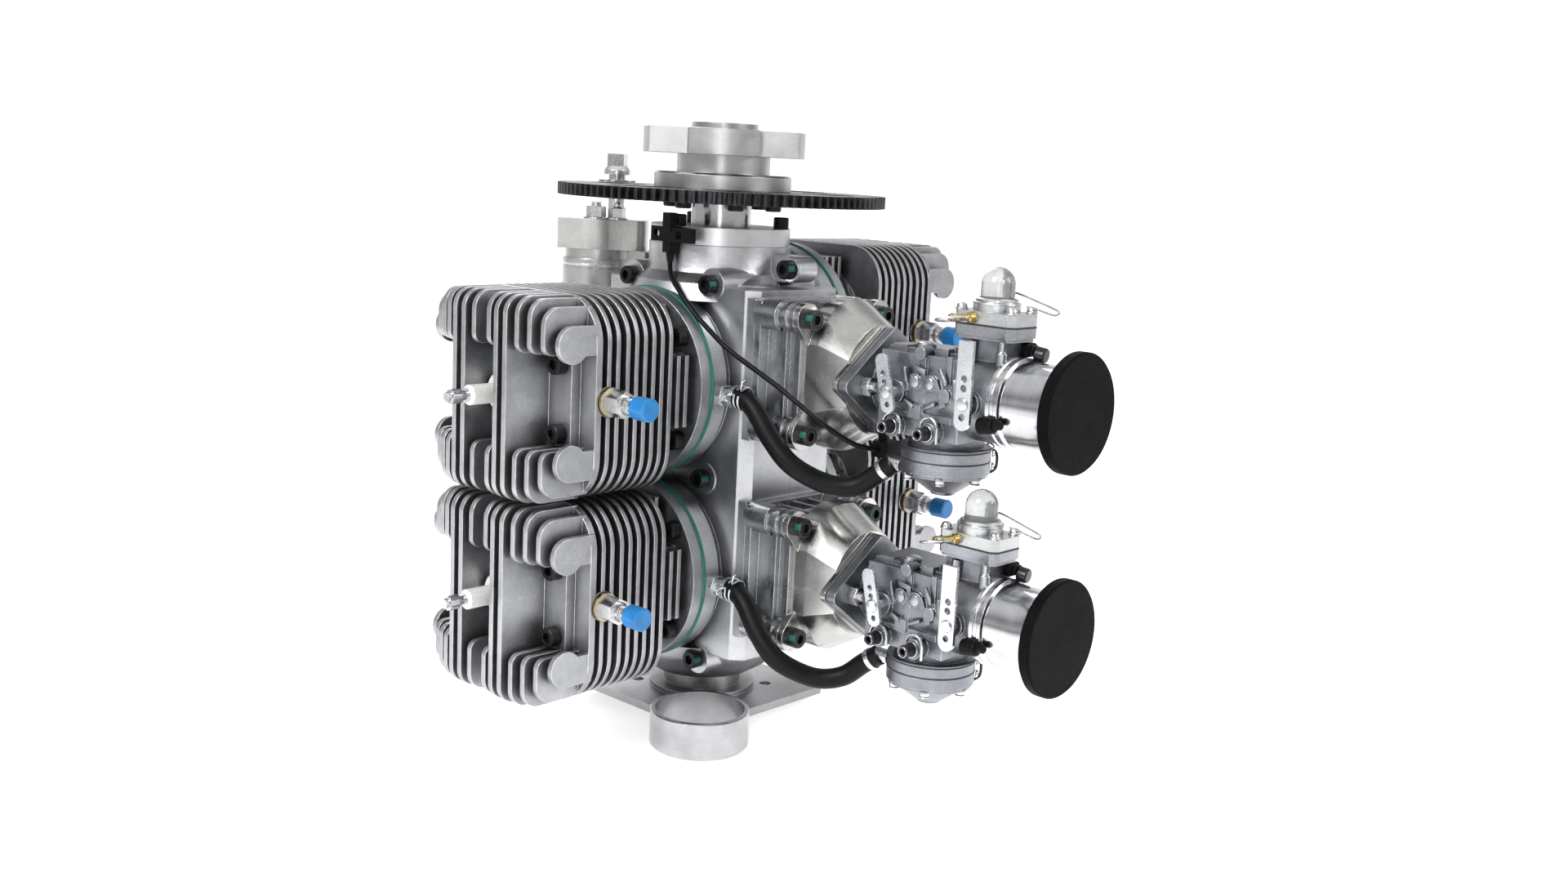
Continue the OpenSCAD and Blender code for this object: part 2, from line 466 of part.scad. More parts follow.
// smooth curve through the points, n steps in each span
function cr(p0,p1,p2,p3,t) = 0.5*((2*p1)+(p2-p0)*t+(2*p0-5*p1+4*p2-p3)*t*t+(3*p1-p0-3*p2+p3)*t*t*t);
function smooth(P,n) = let(m=len(P)) concat([for (i=[0:m-2], j=[0:n-1]) cr(P[max(i-1,0)],P[i],P[i+1],P[min(i+2,m-1)],j/n)],[P[m-1]]);
module sweep(P,r,s) {
  m = len(P);
  T = [for (i=[0:m-1]) unit(P[min(i+1,m-1)]-P[max(i-1,0)])];
  A = [for (i=[0:m-1]) unit(cross(T[i],[0.31,0.05,0.95]))];
  B = [for (i=[0:m-1]) cross(T[i],A[i])];
  V = [for (i=[0:m-1], j=[0:s-1]) P[i]+r*cos(360*j/s)*A[i]+r*sin(360*j/s)*B[i]];
  F = concat([[for (j=[0:s-1]) j]],
    [for (i=[0:m-2], j=[0:s-1]) [i*s+j,(i+1)*s+j,(i+1)*s+(j+1)%s,i*s+(j+1)%s]],
    [[for (j=[s-1:-1:0]) (m-1)*s+j]]);
  polyhedron(V,F,convexity=6);
}
// each hose runs from the cylinder foot down and round to the metering chamber
hose_pts = [
 [[-42,-61,-14],[-42,-66,-14.3],[-42,-73,-19],[-41,-84,-32],[-38,-96,-43.5],[-28,-110,-51.5],[-20,-122,-52],[-15,-132,-45],[-12.5,-140.6,-37.5]],
 [[-42,-61,-9.3],[-42,-66,-9.6],[-42.8,-73,-14.3],[-43.5,-84,-27.3],[-41,-96,-38.8],[-29,-110,-46.8],[-20,-122,-45],[-14.5,-131.5,-36.5],[-12.5,-140,-30]]];
module impulse_hose(k) color("black") carb(k) sweep(smooth(hose_pts[k],2),5.2,12);
module impulse_hose_upper() impulse_hose(0);
module impulse_hose_lower() impulse_hose(1);
module hose_fittings() color("silver") for (k=[0,1]) carb(k) {
  translate([-42,-44,hose_pts[k][0][2]]) rotate([90,0,0]) { cylinder(r=3.6,h=17); cylinder(r=5.8,h=8,$fn=6);
    translate([0,0,14.2]) difference() { cylinder(r=6.4,h=2.6); translate([0,0,-1]) cylinder(r=3.6,h=5); } }
  translate([-12.5,-138,hose_pts[k][8][2]]) rotate([90,0,0]) cylinder(r=3.6,h=8.5);
}
cable_pts = [[-41.5,-2.5,119],[-42.3,-4.5,112.5],[-46.8,-12,107],[-50,-22,100],[-50,-32,91],[-49,-42,83.5],[-45,-56,72.5],[-41,-84,59],[-38,-100,50],[-34,-112,42],[-20,-121,32],[-8,-127,29]];
module sensor_cable() color("black") translate([0,0,zo]) sweep(smooth(cable_pts,2),1.35,8);
module speed_sensor() color("#222222") translate([0,0,zo]) {
  difference() {
    union() {
      translate([-45.5,-8.4,119]) cube([7.5,5.8,13.4]);
      translate([-45.9,-8.4,130]) cube([5,5.8,9.8]);
      translate([-45.5,-24.6,124.6]) cube([3,31.2,7.8]);
    }
    for (y=[2.4,-14.6]) translate([-50,y,128.6]) rotate([0,90,0]) cylinder(r=2.3,h=12);
    translate([0,0,100]) cylinder(r=39.05,h=50);
  }
  // plug at the cable's far end, clipped under the carburettor flange
  translate([-8,-133,25]) cube([12,10,8]);
  translate([-3.5,-126.5,32.9]) cube([3,3.5,5]);
}
// ---------- starter ----------
module starter_motor() color("silver") translate([1.5,104.8,zo]) {
  translate([0,0,40]) cylinder(r=21,h=67.5);
  translate([0,0,107]) cylinder(r=19.6,h=6.5);
  translate([0,0,36]) cylinder(r=16,h=4.2);
  translate([0,0,33]) cylinder(r=5,h=4);
}
module starter_bracket() color("silver") translate([0,0,zo]) difference() {
  union() {
    translate([1.5,104.8,113.5]) rotate(-45) linear_extrude(17.5) { translate([-22.5,-19.5]) square([45.5,27]); translate([-22.5,-13.5]) square([51.5,21]); translate([23,-13.5]) circle(6); circle(21); }
    translate([2,64,92]) cube([22,16,21.6]);
  }
  rotate(pin_a) translate([pin_d,0,115]) cylinder(r=5.05,h=30);
  for (x=[7,19]) translate([x,60,101]) rotate([-90,0,0]) cylinder(r=3,h=8);
}
module starter_pinion() color("silver") translate([0,0,zo]) rotate(pin_a) translate([pin_d,0,0]) {
  translate([0,0,115]) cylinder(r=5,h=44);
  translate([0,0,145.5]) rotate(180+180/pinion_z) linear_extrude(8.3) polygon(gear_pts(pinion_z,pin_rp,pin_rp+1.4,pin_rp-2,2.0,1.0,2.4));
  translate([0,0,157]) cylinder(r=8,h=2.5);
  translate([0,0,159.5]) cylinder(r1=8,r2=6,h=2.5);
  translate([0,0,162]) cylinder(r=6,h=7,$fn=6);
}
// ---------- decompression valves ----------
module decomp_valve_bodies() color("silver") for (i=[0:3]) cyl(i) translate([0,-49,119.6]) rotate([90,0,0]) difference() {
  union() { translate([0,0,-8]) cylinder(r=3.95,h=9); cylinder(r=7.2,h=3); translate([0,0,3]) cylinder(r=6.9,h=10,$fn=6); translate([0,0,13]) cylinder(r=5,h=3.5); translate([0,0,16]) cylinder(r=3.8,h=8.9); }
  translate([0,0,10]) cylinder(r=1.66,h=30);
}
module decomp_button(i) color("dodgerblue") cyl(i) translate([0,-49,119.6]) rotate([90,0,0]) {
  difference() { union() { translate([0,0,21]) cylinder(r=5.7,h=8.9); translate([0,0,29.9]) cylinder(r1=5.7,r2=4.9,h=0.8); }
    translate([0,0,20]) cylinder(r=3.88,h=9.3); }
  translate([0,0,14.5]) cylinder(r=1.6,h=15);
}
module decomp_button_left_upper() decomp_button(0);
module decomp_button_left_lower() decomp_button(1);
module decomp_button_right_upper() decomp_button(2);
module decomp_button_right_lower() decomp_button(3);

crankcase_left();
crankcase_right();
case_bolts();
nose_cover();
mount_plate();
isolator_cups();
barrel_left_upper();
barrel_left_lower();
barrel_right_upper();
barrel_right_lower();
head_left_upper();
head_left_lower();
head_right_upper();
head_right_lower();
cylinder_bolts();
gaskets();
spark_plugs();
crankshaft();
prop_hub();
ring_gear();
hub_fasteners();
main_bearings();
piston_left_upper();
piston_left_lower();
piston_right_upper();
piston_right_lower();
conrod_left_upper();
conrod_left_lower();
conrod_right_upper();
conrod_right_lower();
intake_housing_upper();
intake_housing_lower();
intake_fasteners();
reed_valves();
carb_adaptors();
carb_body_upper();
carb_body_lower();
pump_covers();
metering_covers();
throttle_upper();
throttle_lower();
choke_upper();
choke_lower();
primer_bulb_upper();
primer_bulb_lower();
intake_trumpets();
intake_discs();
impulse_hose_upper();
impulse_hose_lower();
hose_fittings();
speed_sensor();
sensor_cable();
starter_motor();
starter_bracket();
starter_pinion();
decomp_valve_bodies();
decomp_button_left_upper();
decomp_button_left_lower();
decomp_button_right_upper();
decomp_button_right_lower();
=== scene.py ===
import bpy, bmesh, math
from mathutils import Vector, Matrix


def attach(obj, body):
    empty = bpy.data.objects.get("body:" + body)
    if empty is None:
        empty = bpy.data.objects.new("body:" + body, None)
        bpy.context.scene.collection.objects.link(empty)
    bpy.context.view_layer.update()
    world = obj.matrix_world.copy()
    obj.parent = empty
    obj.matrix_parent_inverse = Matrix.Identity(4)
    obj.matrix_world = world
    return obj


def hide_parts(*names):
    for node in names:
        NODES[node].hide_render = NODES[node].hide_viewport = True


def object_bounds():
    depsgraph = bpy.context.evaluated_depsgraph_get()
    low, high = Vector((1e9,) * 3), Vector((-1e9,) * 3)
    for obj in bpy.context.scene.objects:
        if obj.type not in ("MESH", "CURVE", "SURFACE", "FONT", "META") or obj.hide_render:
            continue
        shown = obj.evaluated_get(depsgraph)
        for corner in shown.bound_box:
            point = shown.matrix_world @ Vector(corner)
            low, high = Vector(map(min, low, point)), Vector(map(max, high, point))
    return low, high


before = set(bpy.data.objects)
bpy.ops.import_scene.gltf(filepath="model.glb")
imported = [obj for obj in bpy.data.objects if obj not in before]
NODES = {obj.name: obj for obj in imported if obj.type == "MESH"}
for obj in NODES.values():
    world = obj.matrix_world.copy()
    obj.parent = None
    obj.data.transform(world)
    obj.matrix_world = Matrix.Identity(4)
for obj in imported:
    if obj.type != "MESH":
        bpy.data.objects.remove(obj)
cad_lo, cad_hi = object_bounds()
ZO = 134.0
CYL = {"left_upper": (-1, 51.0), "left_lower": (-1, -51.0), "right_upper": (1, 74.0), "right_lower": (1, -28.0)}
CARB = {"upper": 62.5, "lower": -44.2}


def P(x, y, z):
    """A point given in millimetres from the crankcase datum, in the row frame."""
    return Vector((x / 1000, y / 1000, (z + ZO) / 1000))


# ---------------------------------------------------------------- camera
def make_camera():
    psi, p, rho = math.radians(2.76), math.radians(10.22), math.radians(2.92)
    a = math.radians(-44.73)
    h = math.atan2(math.cos(a), -math.sin(a)) - psi
    v = Vector((math.cos(h) * math.cos(p), math.sin(h) * math.cos(p), -math.sin(p)))
    r = Vector((math.sin(h), -math.cos(h), 0))
    u = r.cross(v)
    r2 = r * math.cos(rho) + u * math.sin(rho)
    u2 = u * math.cos(rho) - r * math.sin(rho)
    cam = bpy.data.objects.new("camera", bpy.data.cameras.new("camera"))
    bpy.context.scene.collection.objects.link(cam)
    m = Matrix((r2, u2, -v)).transposed().to_4x4()
    m.translation = Vector((-0.5949, -0.6005, 0.3006))
    cam.matrix_world = m
    cam.data.sensor_width = 36
    cam.data.lens = 34.906
    cam.data.clip_start, cam.data.clip_end = 0.01, 60
    bpy.context.scene.camera = cam


make_camera()

# ---------------------------------------------------------------- material kit


class Mat:
    """A small builder round one node tree."""

    def __init__(self, name):
        self.m = bpy.data.materials.new(name)
        self.m.use_nodes = True
        self.t = self.m.node_tree
        self.t.nodes.clear()
        self.out = self.t.nodes.new("ShaderNodeOutputMaterial")
        self.b = self.t.nodes.new("ShaderNodeBsdfPrincipled")
        self.t.links.new(self.b.outputs[0], self.out.inputs[0])
        self.tc = self.t.nodes.new("ShaderNodeTexCoord")

    def new(self, kind, **kw):
        n = self.t.nodes.new(kind)
        for k, val in kw.items():
            if hasattr(n, k):
                setattr(n, k, val)
        return n

    def link(self, a, b):
        self.t.links.new(a, b)

    def put(self, socket, value):
        if hasattr(value, "is_linked") or isinstance(value, bpy.types.NodeSocket):
            self.link(value, socket)
        else:
            socket.default_value = value

    def coord(self, scale=(1, 1, 1), rot=(0, 0, 0)):
        mp = self.new("ShaderNodeMapping")
        mp.inputs["Scale"].default_value = scale
        mp.inputs["Rotation"].default_value = rot
        self.link(self.tc.outputs["Object"], mp.inputs["Vector"])
        return mp.outputs[0]

    def noise(self, scale, detail=4.0, rough=0.55, vec=None, dist=0.0):
        n = self.new("ShaderNodeTexNoise")
        n.inputs["Scale"].default_value = scale
        n.inputs["Detail"].default_value = detail
        n.inputs["Roughness"].default_value = rough
        n.inputs["Distortion"].default_value = dist
        self.link(vec if vec is not None else self.tc.outputs["Object"], n.inputs["Vector"])
        return n.outputs["Fac"]

    def math(self, op, a, b=0.0, c=0.0, clamp=False):
        n = self.new("ShaderNodeMath", operation=op, use_clamp=clamp)
        for i, x in enumerate((a, b, c)):
            self.put(n.inputs[i], x)
        return n.outputs[0]

    def rng(self, x, a, b, c=0.0, d=1.0):
        n = self.new("ShaderNodeMapRange")
        for i, y in enumerate((x, a, b, c, d)):
            self.put(n.inputs[i], y)
        return n.outputs[0]

    def mix(self, fac, a, b, kind="MIX"):
        n = self.new("ShaderNodeMix", data_type="RGBA", blend_type=kind)
        self.put(n.inputs[0], fac)
        self.put(n.inputs[6], a)
        self.put(n.inputs[7], b)
        return n.outputs[2]

    def xyz(self, src=None):
        n = self.new("ShaderNodeSeparateXYZ")
        self.link(src if src is not None else self.tc.outputs["Object"], n.inputs[0])
        return n.outputs

    def edges(self, radius=0.0007, gain=6.0, samples=4):
        """1 on convex edges, and the rounded normal."""
        bev = self.new("ShaderNodeBevel", samples=samples)
        bev.inputs["Radius"].default_value = radius
        geo = self.new("ShaderNodeNewGeometry")
        dot = self.new("ShaderNodeVectorMath", operation="DOT_PRODUCT")
        self.link(bev.outputs[0], dot.inputs[0])
        self.link(geo.outputs["Normal"], dot.inputs[1])
        e = self.math("MULTIPLY", self.math("SUBTRACT", 1.0, dot.outputs["Value"]), gain, clamp=True)
        return e, bev.outputs[0]

    def bump(self, height, strength, distance, normal=None):
        n = self.new("ShaderNodeBump")
        n.inputs["Strength"].default_value = strength
        n.inputs["Distance"].default_value = distance
        self.link(height, n.inputs["Height"])
        if normal is not None:
            self.link(normal, n.inputs["Normal"])
        return n.outputs[0]

    def ao(self, dist=0.012, samples=4):
        n = self.new("ShaderNodeAmbientOcclusion", samples=samples)
        n.inputs["Distance"].default_value = dist
        return n.outputs["AO"]

    def set(self, **kw):
        names = {"color": "Base Color", "metal": "Metallic", "rough": "Roughness", "normal": "Normal", "coat": "Coat Weight",
                 "coat_rough": "Coat Roughness", "spec": "Specular IOR Level", "aniso": "Anisotropic", "trans": "Transmission Weight",
                 "ior": "IOR", "alpha": "Alpha", "sheen": "Sheen Weight", "sub": "Subsurface Weight"}
        for k, val in kw.items():
            self.put(self.b.inputs[names[k]], val)
        return self


def rgb(r, g=None, b=None):
    if g is None:
        g = b = r
    return (r, g, b, 1.0)


def cast(name, lo, hi, rough=(0.36, 0.52), grain=0.5, edge=0.75, edge_highlight_col=None, recess_shade=0.6, tint=None, ao_dist=0.012):
    """Satin cast aluminium: mottled tone, fine grain, a painted highlight on convex edges, painted shade in corners and
    recesses.
    """
    k = Mat(name)
    big = k.noise(28, 3)
    mid = k.noise(160, 5, 0.6)
    fine = k.noise(1200, 3, 0.6)
    tone = k.math("MULTIPLY_ADD", big, 0.6, k.math("MULTIPLY", mid, 0.4))
    col = k.mix(k.rng(tone, 0.36, 0.66), rgb(*lo), rgb(*hi))
    col = k.mix(k.rng(fine, 0.35, 0.75, 0.0, 0.34), col, rgb(*[c * 0.55 for c in lo]))
    if tint:
        col = k.mix(k.rng(k.noise(11, 2), 0.5, 0.72, 0.0, 0.5), col, rgb(*tint))
    # painted shade: the colour is darkened towards near-black where ambient occlusion finds corners, recesses and the
    # gaps between fins
    ao = k.ao(ao_dist)
    col = k.mix(k.rng(ao, 0.25, 0.9, recess_shade, 0.0), col, rgb(*[c * 0.28 for c in lo]))
    # painted highlight: convex edges are painted bright, near white on the fins, standing in for light catching them
    e, nrm = k.edges(0.0006, 5.0)
    e = k.math("MULTIPLY", e, k.rng(mid, 0.3, 0.6, 0.45, 1.0))
    col = k.mix(k.math("MULTIPLY", e, edge), col, rgb(*(edge_highlight_col or (0.86, 0.87, 0.88))))
    r = k.rng(k.math("ADD", mid, k.math("MULTIPLY", fine, 0.5)), 0.4, 1.1, rough[0], rough[1])
    r = k.math("SUBTRACT", r, k.math("MULTIPLY", e, 0.12))
    h = k.math("ADD", k.math("MULTIPLY", fine, 0.7), k.math("MULTIPLY", k.noise(520, 3), 0.8))
    k.set(color=col, metal=1.0, rough=r, normal=k.bump(h, grain, 0.00022, nrm))
    return k.m


def turned(name, lo, hi, rough=(0.12, 0.26), axis="Z", lines=5200.0, bump=0.12, centre=None, plain=False):
    """Machined aluminium or steel with fine tool marks round one axis."""
    k = Mat(name)
    x, y, z = k.xyz()
    v = {"X": x, "Y": y, "Z": z}
    along = v[axis]
    comb = k.new("ShaderNodeCombineXYZ")
    if not plain:
        others = [v[c] for c in "XYZ" if c != axis]
        cen = centre or (0.0, 0.0)
        a = k.math("SUBTRACT", others[0], cen[0])
        b = k.math("SUBTRACT", others[1], cen[1])
        rad = k.math("SQRT", k.math("ADD", k.math("MULTIPLY", a, a), k.math("MULTIPLY", b, b)))
        k.put(comb.inputs[0], k.math("MULTIPLY", rad, lines))
        k.put(comb.inputs[1], k.math("MULTIPLY", along, lines))
    else:
        k.put(comb.inputs[0], k.math("MULTIPLY", x, lines * 0.02))
        k.put(comb.inputs[1], k.math("MULTIPLY", y, lines * 0.02))
        k.put(comb.inputs[2], k.math("MULTIPLY", z, lines))
    marks = k.noise(1.0, 3, 0.6, comb.outputs[0])
    spots = k.noise(90, 4)
    col = k.mix(k.rng(k.math("ADD", k.math("MULTIPLY", marks, 0.5), k.math("MULTIPLY", spots, 0.5)), 0.35, 0.65), rgb(*lo), rgb(*hi))
    e, nrm = k.edges(0.0005, 4.0)
    # painted highlight: convex edges painted near white
    col = k.mix(k.math("MULTIPLY", e, 0.6), col, rgb(0.92))
    r = k.rng(k.math("ADD", k.math("MULTIPLY", marks, 0.6), k.math("MULTIPLY", spots, 0.4)), 0.3, 0.7, rough[0], rough[1])
    k.set(color=col, metal=1.0, rough=r, normal=k.bump(marks, bump, 0.00006, nrm), aniso=0.35)
    return k.m


def plated(name, lo, hi, rough=(0.16, 0.34), scale=600):
    k = Mat(name)
    a, b = k.noise(scale * 2.2, 3), k.noise(70, 3)
    col = k.mix(k.rng(k.math("ADD", k.math("MULTIPLY", a, 0.3), k.math("MULTIPLY", b, 0.7)), 0.28, 0.72), rgb(*lo), rgb(*hi))
    e, nrm = k.edges(0.0004, 4.0)
    # painted highlight: convex edges painted lighter
    col = k.mix(k.math("MULTIPLY", e, 0.3), col, rgb(0.85))
    # painted shade: darker where ambient occlusion finds corners and recesses
    col = k.mix(k.rng(k.ao(0.004), 0.2, 0.9, 0.5, 0.0), col, rgb(*[c * 0.25 for c in lo]))
    k.set(color=col, metal=1.0, rough=k.rng(a, 0.35, 0.65, rough[0], rough[1]), normal=k.bump(a, 0.05, 0.00003, nrm))
    return k.m


def oxide(name, base=0.018, rough=(0.28, 0.5), edge=0.35, metal=0.75, scale=900, bump=0.25):
    """Black oxide on steel, worn to grey on its corners."""
    k = Mat(name)
    a, b = k.noise(scale, 4), k.noise(120, 4)
    col = k.mix(k.rng(b, 0.35, 0.7), rgb(base, base, base * 1.1), rgb(base * 2.6, base * 2.6, base * 2.8))
    e, nrm = k.edges(0.0003, 5.0)
    e = k.math("MULTIPLY", e, k.rng(k.noise(420, 3), 0.42, 0.6))
    col = k.mix(k.math("MULTIPLY", e, edge), col, rgb(0.34, 0.34, 0.36))
    k.set(color=col, metal=metal, rough=k.rng(a, 0.3, 0.7, rough[0], rough[1]), normal=k.bump(a, bump, 0.00012, nrm))
    return k.m


def plastic(name, base, rough=(0.35, 0.55), bump=0.3, scale=1200, coat=0.0, dist=0.0002, spec=0.5):
    k = Mat(name)
    a, b = k.noise(scale, 3), k.noise(60, 3)
    col = k.mix(k.rng(b, 0.35, 0.7), rgb(*base), rgb(*[min(1, c * 1.5 + 0.0015) for c in base]))
    e, nrm = k.edges(0.0004, 4.0)
    # painted highlight: convex edges painted lighter
    col = k.mix(k.math("MULTIPLY", e, 0.25), col, rgb(*[min(1, c * 2.2 + 0.012) for c in base]))
    k.set(color=col, metal=0.0, rough=k.rng(a, 0.3, 0.7, rough[0], rough[1]), normal=k.bump(a, bump, dist, nrm), coat=coat, spec=spec)
    return k.m


M = {}
M["case"] = cast("case_cast", (0.48, 0.485, 0.50), (0.66, 0.665, 0.68), rough=(0.30, 0.44), grain=0.35, edge=0.8)
M["fins"] = cast("fin_cast", (0.37, 0.375, 0.39), (0.54, 0.545, 0.56), rough=(0.38, 0.5), grain=0.6, edge=0.95, edge_highlight_col=(0.95, 0.95, 0.95), recess_shade=0.8, ao_dist=0.008)
M["carb"] = cast("carb_cast", (0.24, 0.25, 0.275), (0.40, 0.41, 0.44), rough=(0.28, 0.44), grain=0.7, edge=0.9, edge_highlight_col=(0.85, 0.87, 0.9), recess_shade=0.7, ao_dist=0.006)
M["housing"] = cast("housing_cast", (0.42, 0.43, 0.45), (0.62, 0.63, 0.65), rough=(0.22, 0.38), grain=0.3, edge=0.85)
M["starter"] = cast("starter_cast", (0.47, 0.475, 0.45), (0.62, 0.625, 0.60), rough=(0.34, 0.46), grain=0.4, edge=0.6, ao_dist=0.006)
M["starter_body"] = turned("starter_can", (0.46, 0.46, 0.455), (0.62, 0.62, 0.61), rough=(0.24, 0.36), centre=(0.0015, 0.1048), lines=2600)
M["adaptor"] = turned("adaptor_milled", (0.46, 0.455, 0.44), (0.64, 0.635, 0.62), rough=(0.16, 0.30), axis="Y", lines=1800, plain=False)
M["nose"] = turned("nose_turned", (0.54, 0.54, 0.55), (0.70, 0.70, 0.71), rough=(0.26, 0.38))
M["hub"] = turned("hub_turned", (0.38, 0.38, 0.385), (0.56, 0.56, 0.565), rough=(0.24, 0.38), bump=0.3)
M["plate"] = cast("plate_cast", (0.34, 0.34, 0.35), (0.48, 0.48, 0.49), rough=(0.3, 0.42), grain=0.4, edge=0.7)
M["cup"] = turned("cup_turned", (0.36, 0.36, 0.37), (0.54, 0.54, 0.55), rough=(0.16, 0.28), bump=0.2, centre=(-0.05, -0.05))
M["trumpet"] = turned("trumpet_polished", (0.50, 0.505, 0.52), (0.66, 0.665, 0.68), rough=(0.12, 0.22), axis="Y", centre=(0.0, 0.1965), lines=3000)
M["screw"] = oxide("black_screws", 0.010)
M["ring"] = oxide("ring_gear_black", 0.022, (0.3, 0.46), 0.3, 0.8)
M["steel"] = plated("ground_steel", (0.50, 0.50, 0.52), (0.68, 0.68, 0.70), (0.14, 0.28))
M["zinc"] = plated("zinc_plated", (0.58, 0.60, 0.62), (0.80, 0.82, 0.84), (0.18, 0.36))
M["nuts"] = plated("bright_nuts", (0.60, 0.60, 0.60), (0.84, 0.84, 0.84), (0.14, 0.30))
M["brass"] = plated("brass", (0.52, 0.36, 0.12), (0.72, 0.52, 0.20), (0.2, 0.38))
M["dark"] = oxide("dark_clip", 0.03, (0.24, 0.4), 0.5, 0.9)
M["rubber"] = plastic("hose_rubber", (0.003, 0.003, 0.0035), (0.36, 0.5), 0.25, 900, spec=0.16)
M["cable"] = plastic("cable_sleeve", (0.003, 0.003, 0.0035), (0.32, 0.44), 0.15, 700, spec=0.16)
M["black"] = plastic("black_moulded", (0.003, 0.003, 0.0035), (0.34, 0.5), 0.3, spec=0.14)
M["disc"] = plastic("disc_textured", (0.002, 0.002, 0.0024), (0.46, 0.62), 0.9, 1700, dist=0.0003, spec=0.05)
M["gasket"] = plastic("gasket_teal", (0.008, 0.13, 0.10), (0.4, 0.6), 0.3)
M["darkgasket"] = plastic("gasket_dark", (0.02, 0.02, 0.024), (0.45, 0.6), 0.3)
M["paint"] = plastic("green_paint", (0.002, 0.075, 0.055), (0.35, 0.5), 0.4, 500, spec=0.3)
M["blue"] = plastic("blue_anodised", (0.008, 0.14, 0.36), (0.28, 0.4), 0.15, 900, coat=0.2, spec=0.4)
M["pump"] = plated("pump_cover_bright", (0.52, 0.53, 0.54), (0.66, 0.67, 0.68), (0.26, 0.42), 900)
M["red"] = plastic("red_insert", (0.45, 0.02, 0.02), (0.3, 0.5), 0.2)
M["white"] = plastic("white_insert", (0.78, 0.78, 0.76), (0.3, 0.45), 0.1)


def dome_material():
    k = Mat("clear_dome")
    a = k.noise(220, 3)
    e, nrm = k.edges(0.0004, 3.0)
    col = k.mix(k.rng(a, 0.4, 0.7), rgb(0.66, 0.67, 0.65), rgb(0.50, 0.52, 0.50))
    k.set(color=col, metal=0.0, rough=k.rng(a, 0.3, 0.7, 0.06, 0.2), normal=k.bump(a, 0.1, 0.0002, nrm), trans=0.82, ior=1.42, coat=0.3)
    return k.m


def along_material(name, stops, axis="X", mirrored=True, centre=0.0, rough_noise=800):
    """One piece of several finishes one after another along an axis: stops are (distance in mm, colour, metallic, roughness)."""
    k = Mat(name)
    v = dict(zip("XYZ", k.xyz()))
    d = k.math("SUBTRACT", v[axis], centre)
    if mirrored:
        d = k.math("ABSOLUTE", d)
    n = k.noise(rough_noise, 3)
    col, met, rou = rgb(*stops[0][1]), stops[0][2], k.rng(n, 0.3, 0.7, stops[0][3] * 0.8, stops[0][3] * 1.25)
    for start, c, m_, r_ in stops[1:]:
        t = k.math("GREATER_THAN", d, start / 1000)
        shade = k.mix(k.rng(n, 0.3, 0.7), rgb(*c), rgb(*[x * 0.8 for x in c]))
        col = k.mix(t, col, shade)
        met = k.math("ADD", k.math("MULTIPLY", k.math("SUBTRACT", 1.0, t), met), k.math("MULTIPLY", t, m_))
        rou = k.math("ADD", k.math("MULTIPLY", k.math("SUBTRACT", 1.0, t), rou), k.math("MULTIPLY", t, k.rng(n, 0.3, 0.7, r_ * 0.8, r_ * 1.25)))
    e, nrm = k.edges(0.0004, 4.0)
    k.set(color=col, metal=met, rough=rou, normal=k.bump(n, 0.1, 0.0001, nrm))
    return k.m


def two_finish(name, mask, a, b, scale=700):
    """Two finishes on one node, parted by place. mask(k, x, y, z) is 1 where b shows; a and b are (low, high, metallic, roughness low, roughness high)."""
    k = Mat(name)
    x, y, z = k.xyz()
    t = mask(k, x, y, z)
    n, n2 = k.noise(scale, 4), k.noise(80, 3)
    f = k.rng(k.math("ADD", k.math("MULTIPLY", n, 0.5), k.math("MULTIPLY", n2, 0.5)), 0.36, 0.64)
    col = k.mix(t, k.mix(f, rgb(*a[0]), rgb(*a[1])), k.mix(f, rgb(*b[0]), rgb(*b[1])))
    e, nrm = k.edges(0.0004, 4.0)
    # painted highlight: convex edges painted lighter
    col = k.mix(k.math("MULTIPLY", e, 0.35), col, rgb(0.8))
    # painted shade: near-black where ambient occlusion finds corners and recesses
    col = k.mix(k.rng(k.ao(0.004), 0.2, 0.9, 0.5, 0.0), col, rgb(0.03))

    def lerp(p, q):
        return k.math("ADD", k.math("MULTIPLY", k.math("SUBTRACT", 1.0, t), p), k.math("MULTIPLY", t, q))
    rough = lerp(k.rng(n, 0.35, 0.65, a[3], a[4]), k.rng(n, 0.35, 0.65, b[3], b[4]))
    k.set(color=col, metal=lerp(a[2], b[2]), rough=rough, normal=k.bump(n, 0.15, 0.0001, nrm))
    return k.m


def intake_mask(k, x, y, z):
    front = k.math("LESS_THAN", y, -0.115)
    adjust = k.math("MULTIPLY", k.math("LESS_THAN", x, -0.022), k.math("LESS_THAN", y, -0.137))
    return k.math("MULTIPLY", front, k.math("SUBTRACT", 1.0, adjust))


def pump_mask(k, x, y, z):
    rel = k.math("MODULO", k.math("SUBTRACT", z, 0.0898), 0.1067)
    return k.math("LESS_THAN", rel, 0.0357)


M["hubnut"] = two_finish("hub_nut_and_screws", lambda k, x, y, z: k.math("LESS_THAN", z, 0.285), ((0.5, 0.5, 0.51), (0.7, 0.7, 0.71), 1.0, 0.2, 0.34), ((0.012, 0.012, 0.013), (0.035, 0.035, 0.038), 0.8, 0.3, 0.5))
M["intake_screws"] = two_finish("intake_screws", intake_mask, ((0.018, 0.018, 0.02), (0.05, 0.05, 0.055), 0.75, 0.28, 0.5), ((0.55, 0.55, 0.55), (0.8, 0.8, 0.8), 1.0, 0.15, 0.3))
M["gaskets2"] = two_finish("gasket_colours", lambda k, x, y, z: k.math("LESS_THAN", y, -0.115), ((0.008, 0.16, 0.13), (0.02, 0.24, 0.19), 0.0, 0.4, 0.6), ((0.02, 0.02, 0.024), (0.05, 0.05, 0.055), 0.0, 0.45, 0.6))
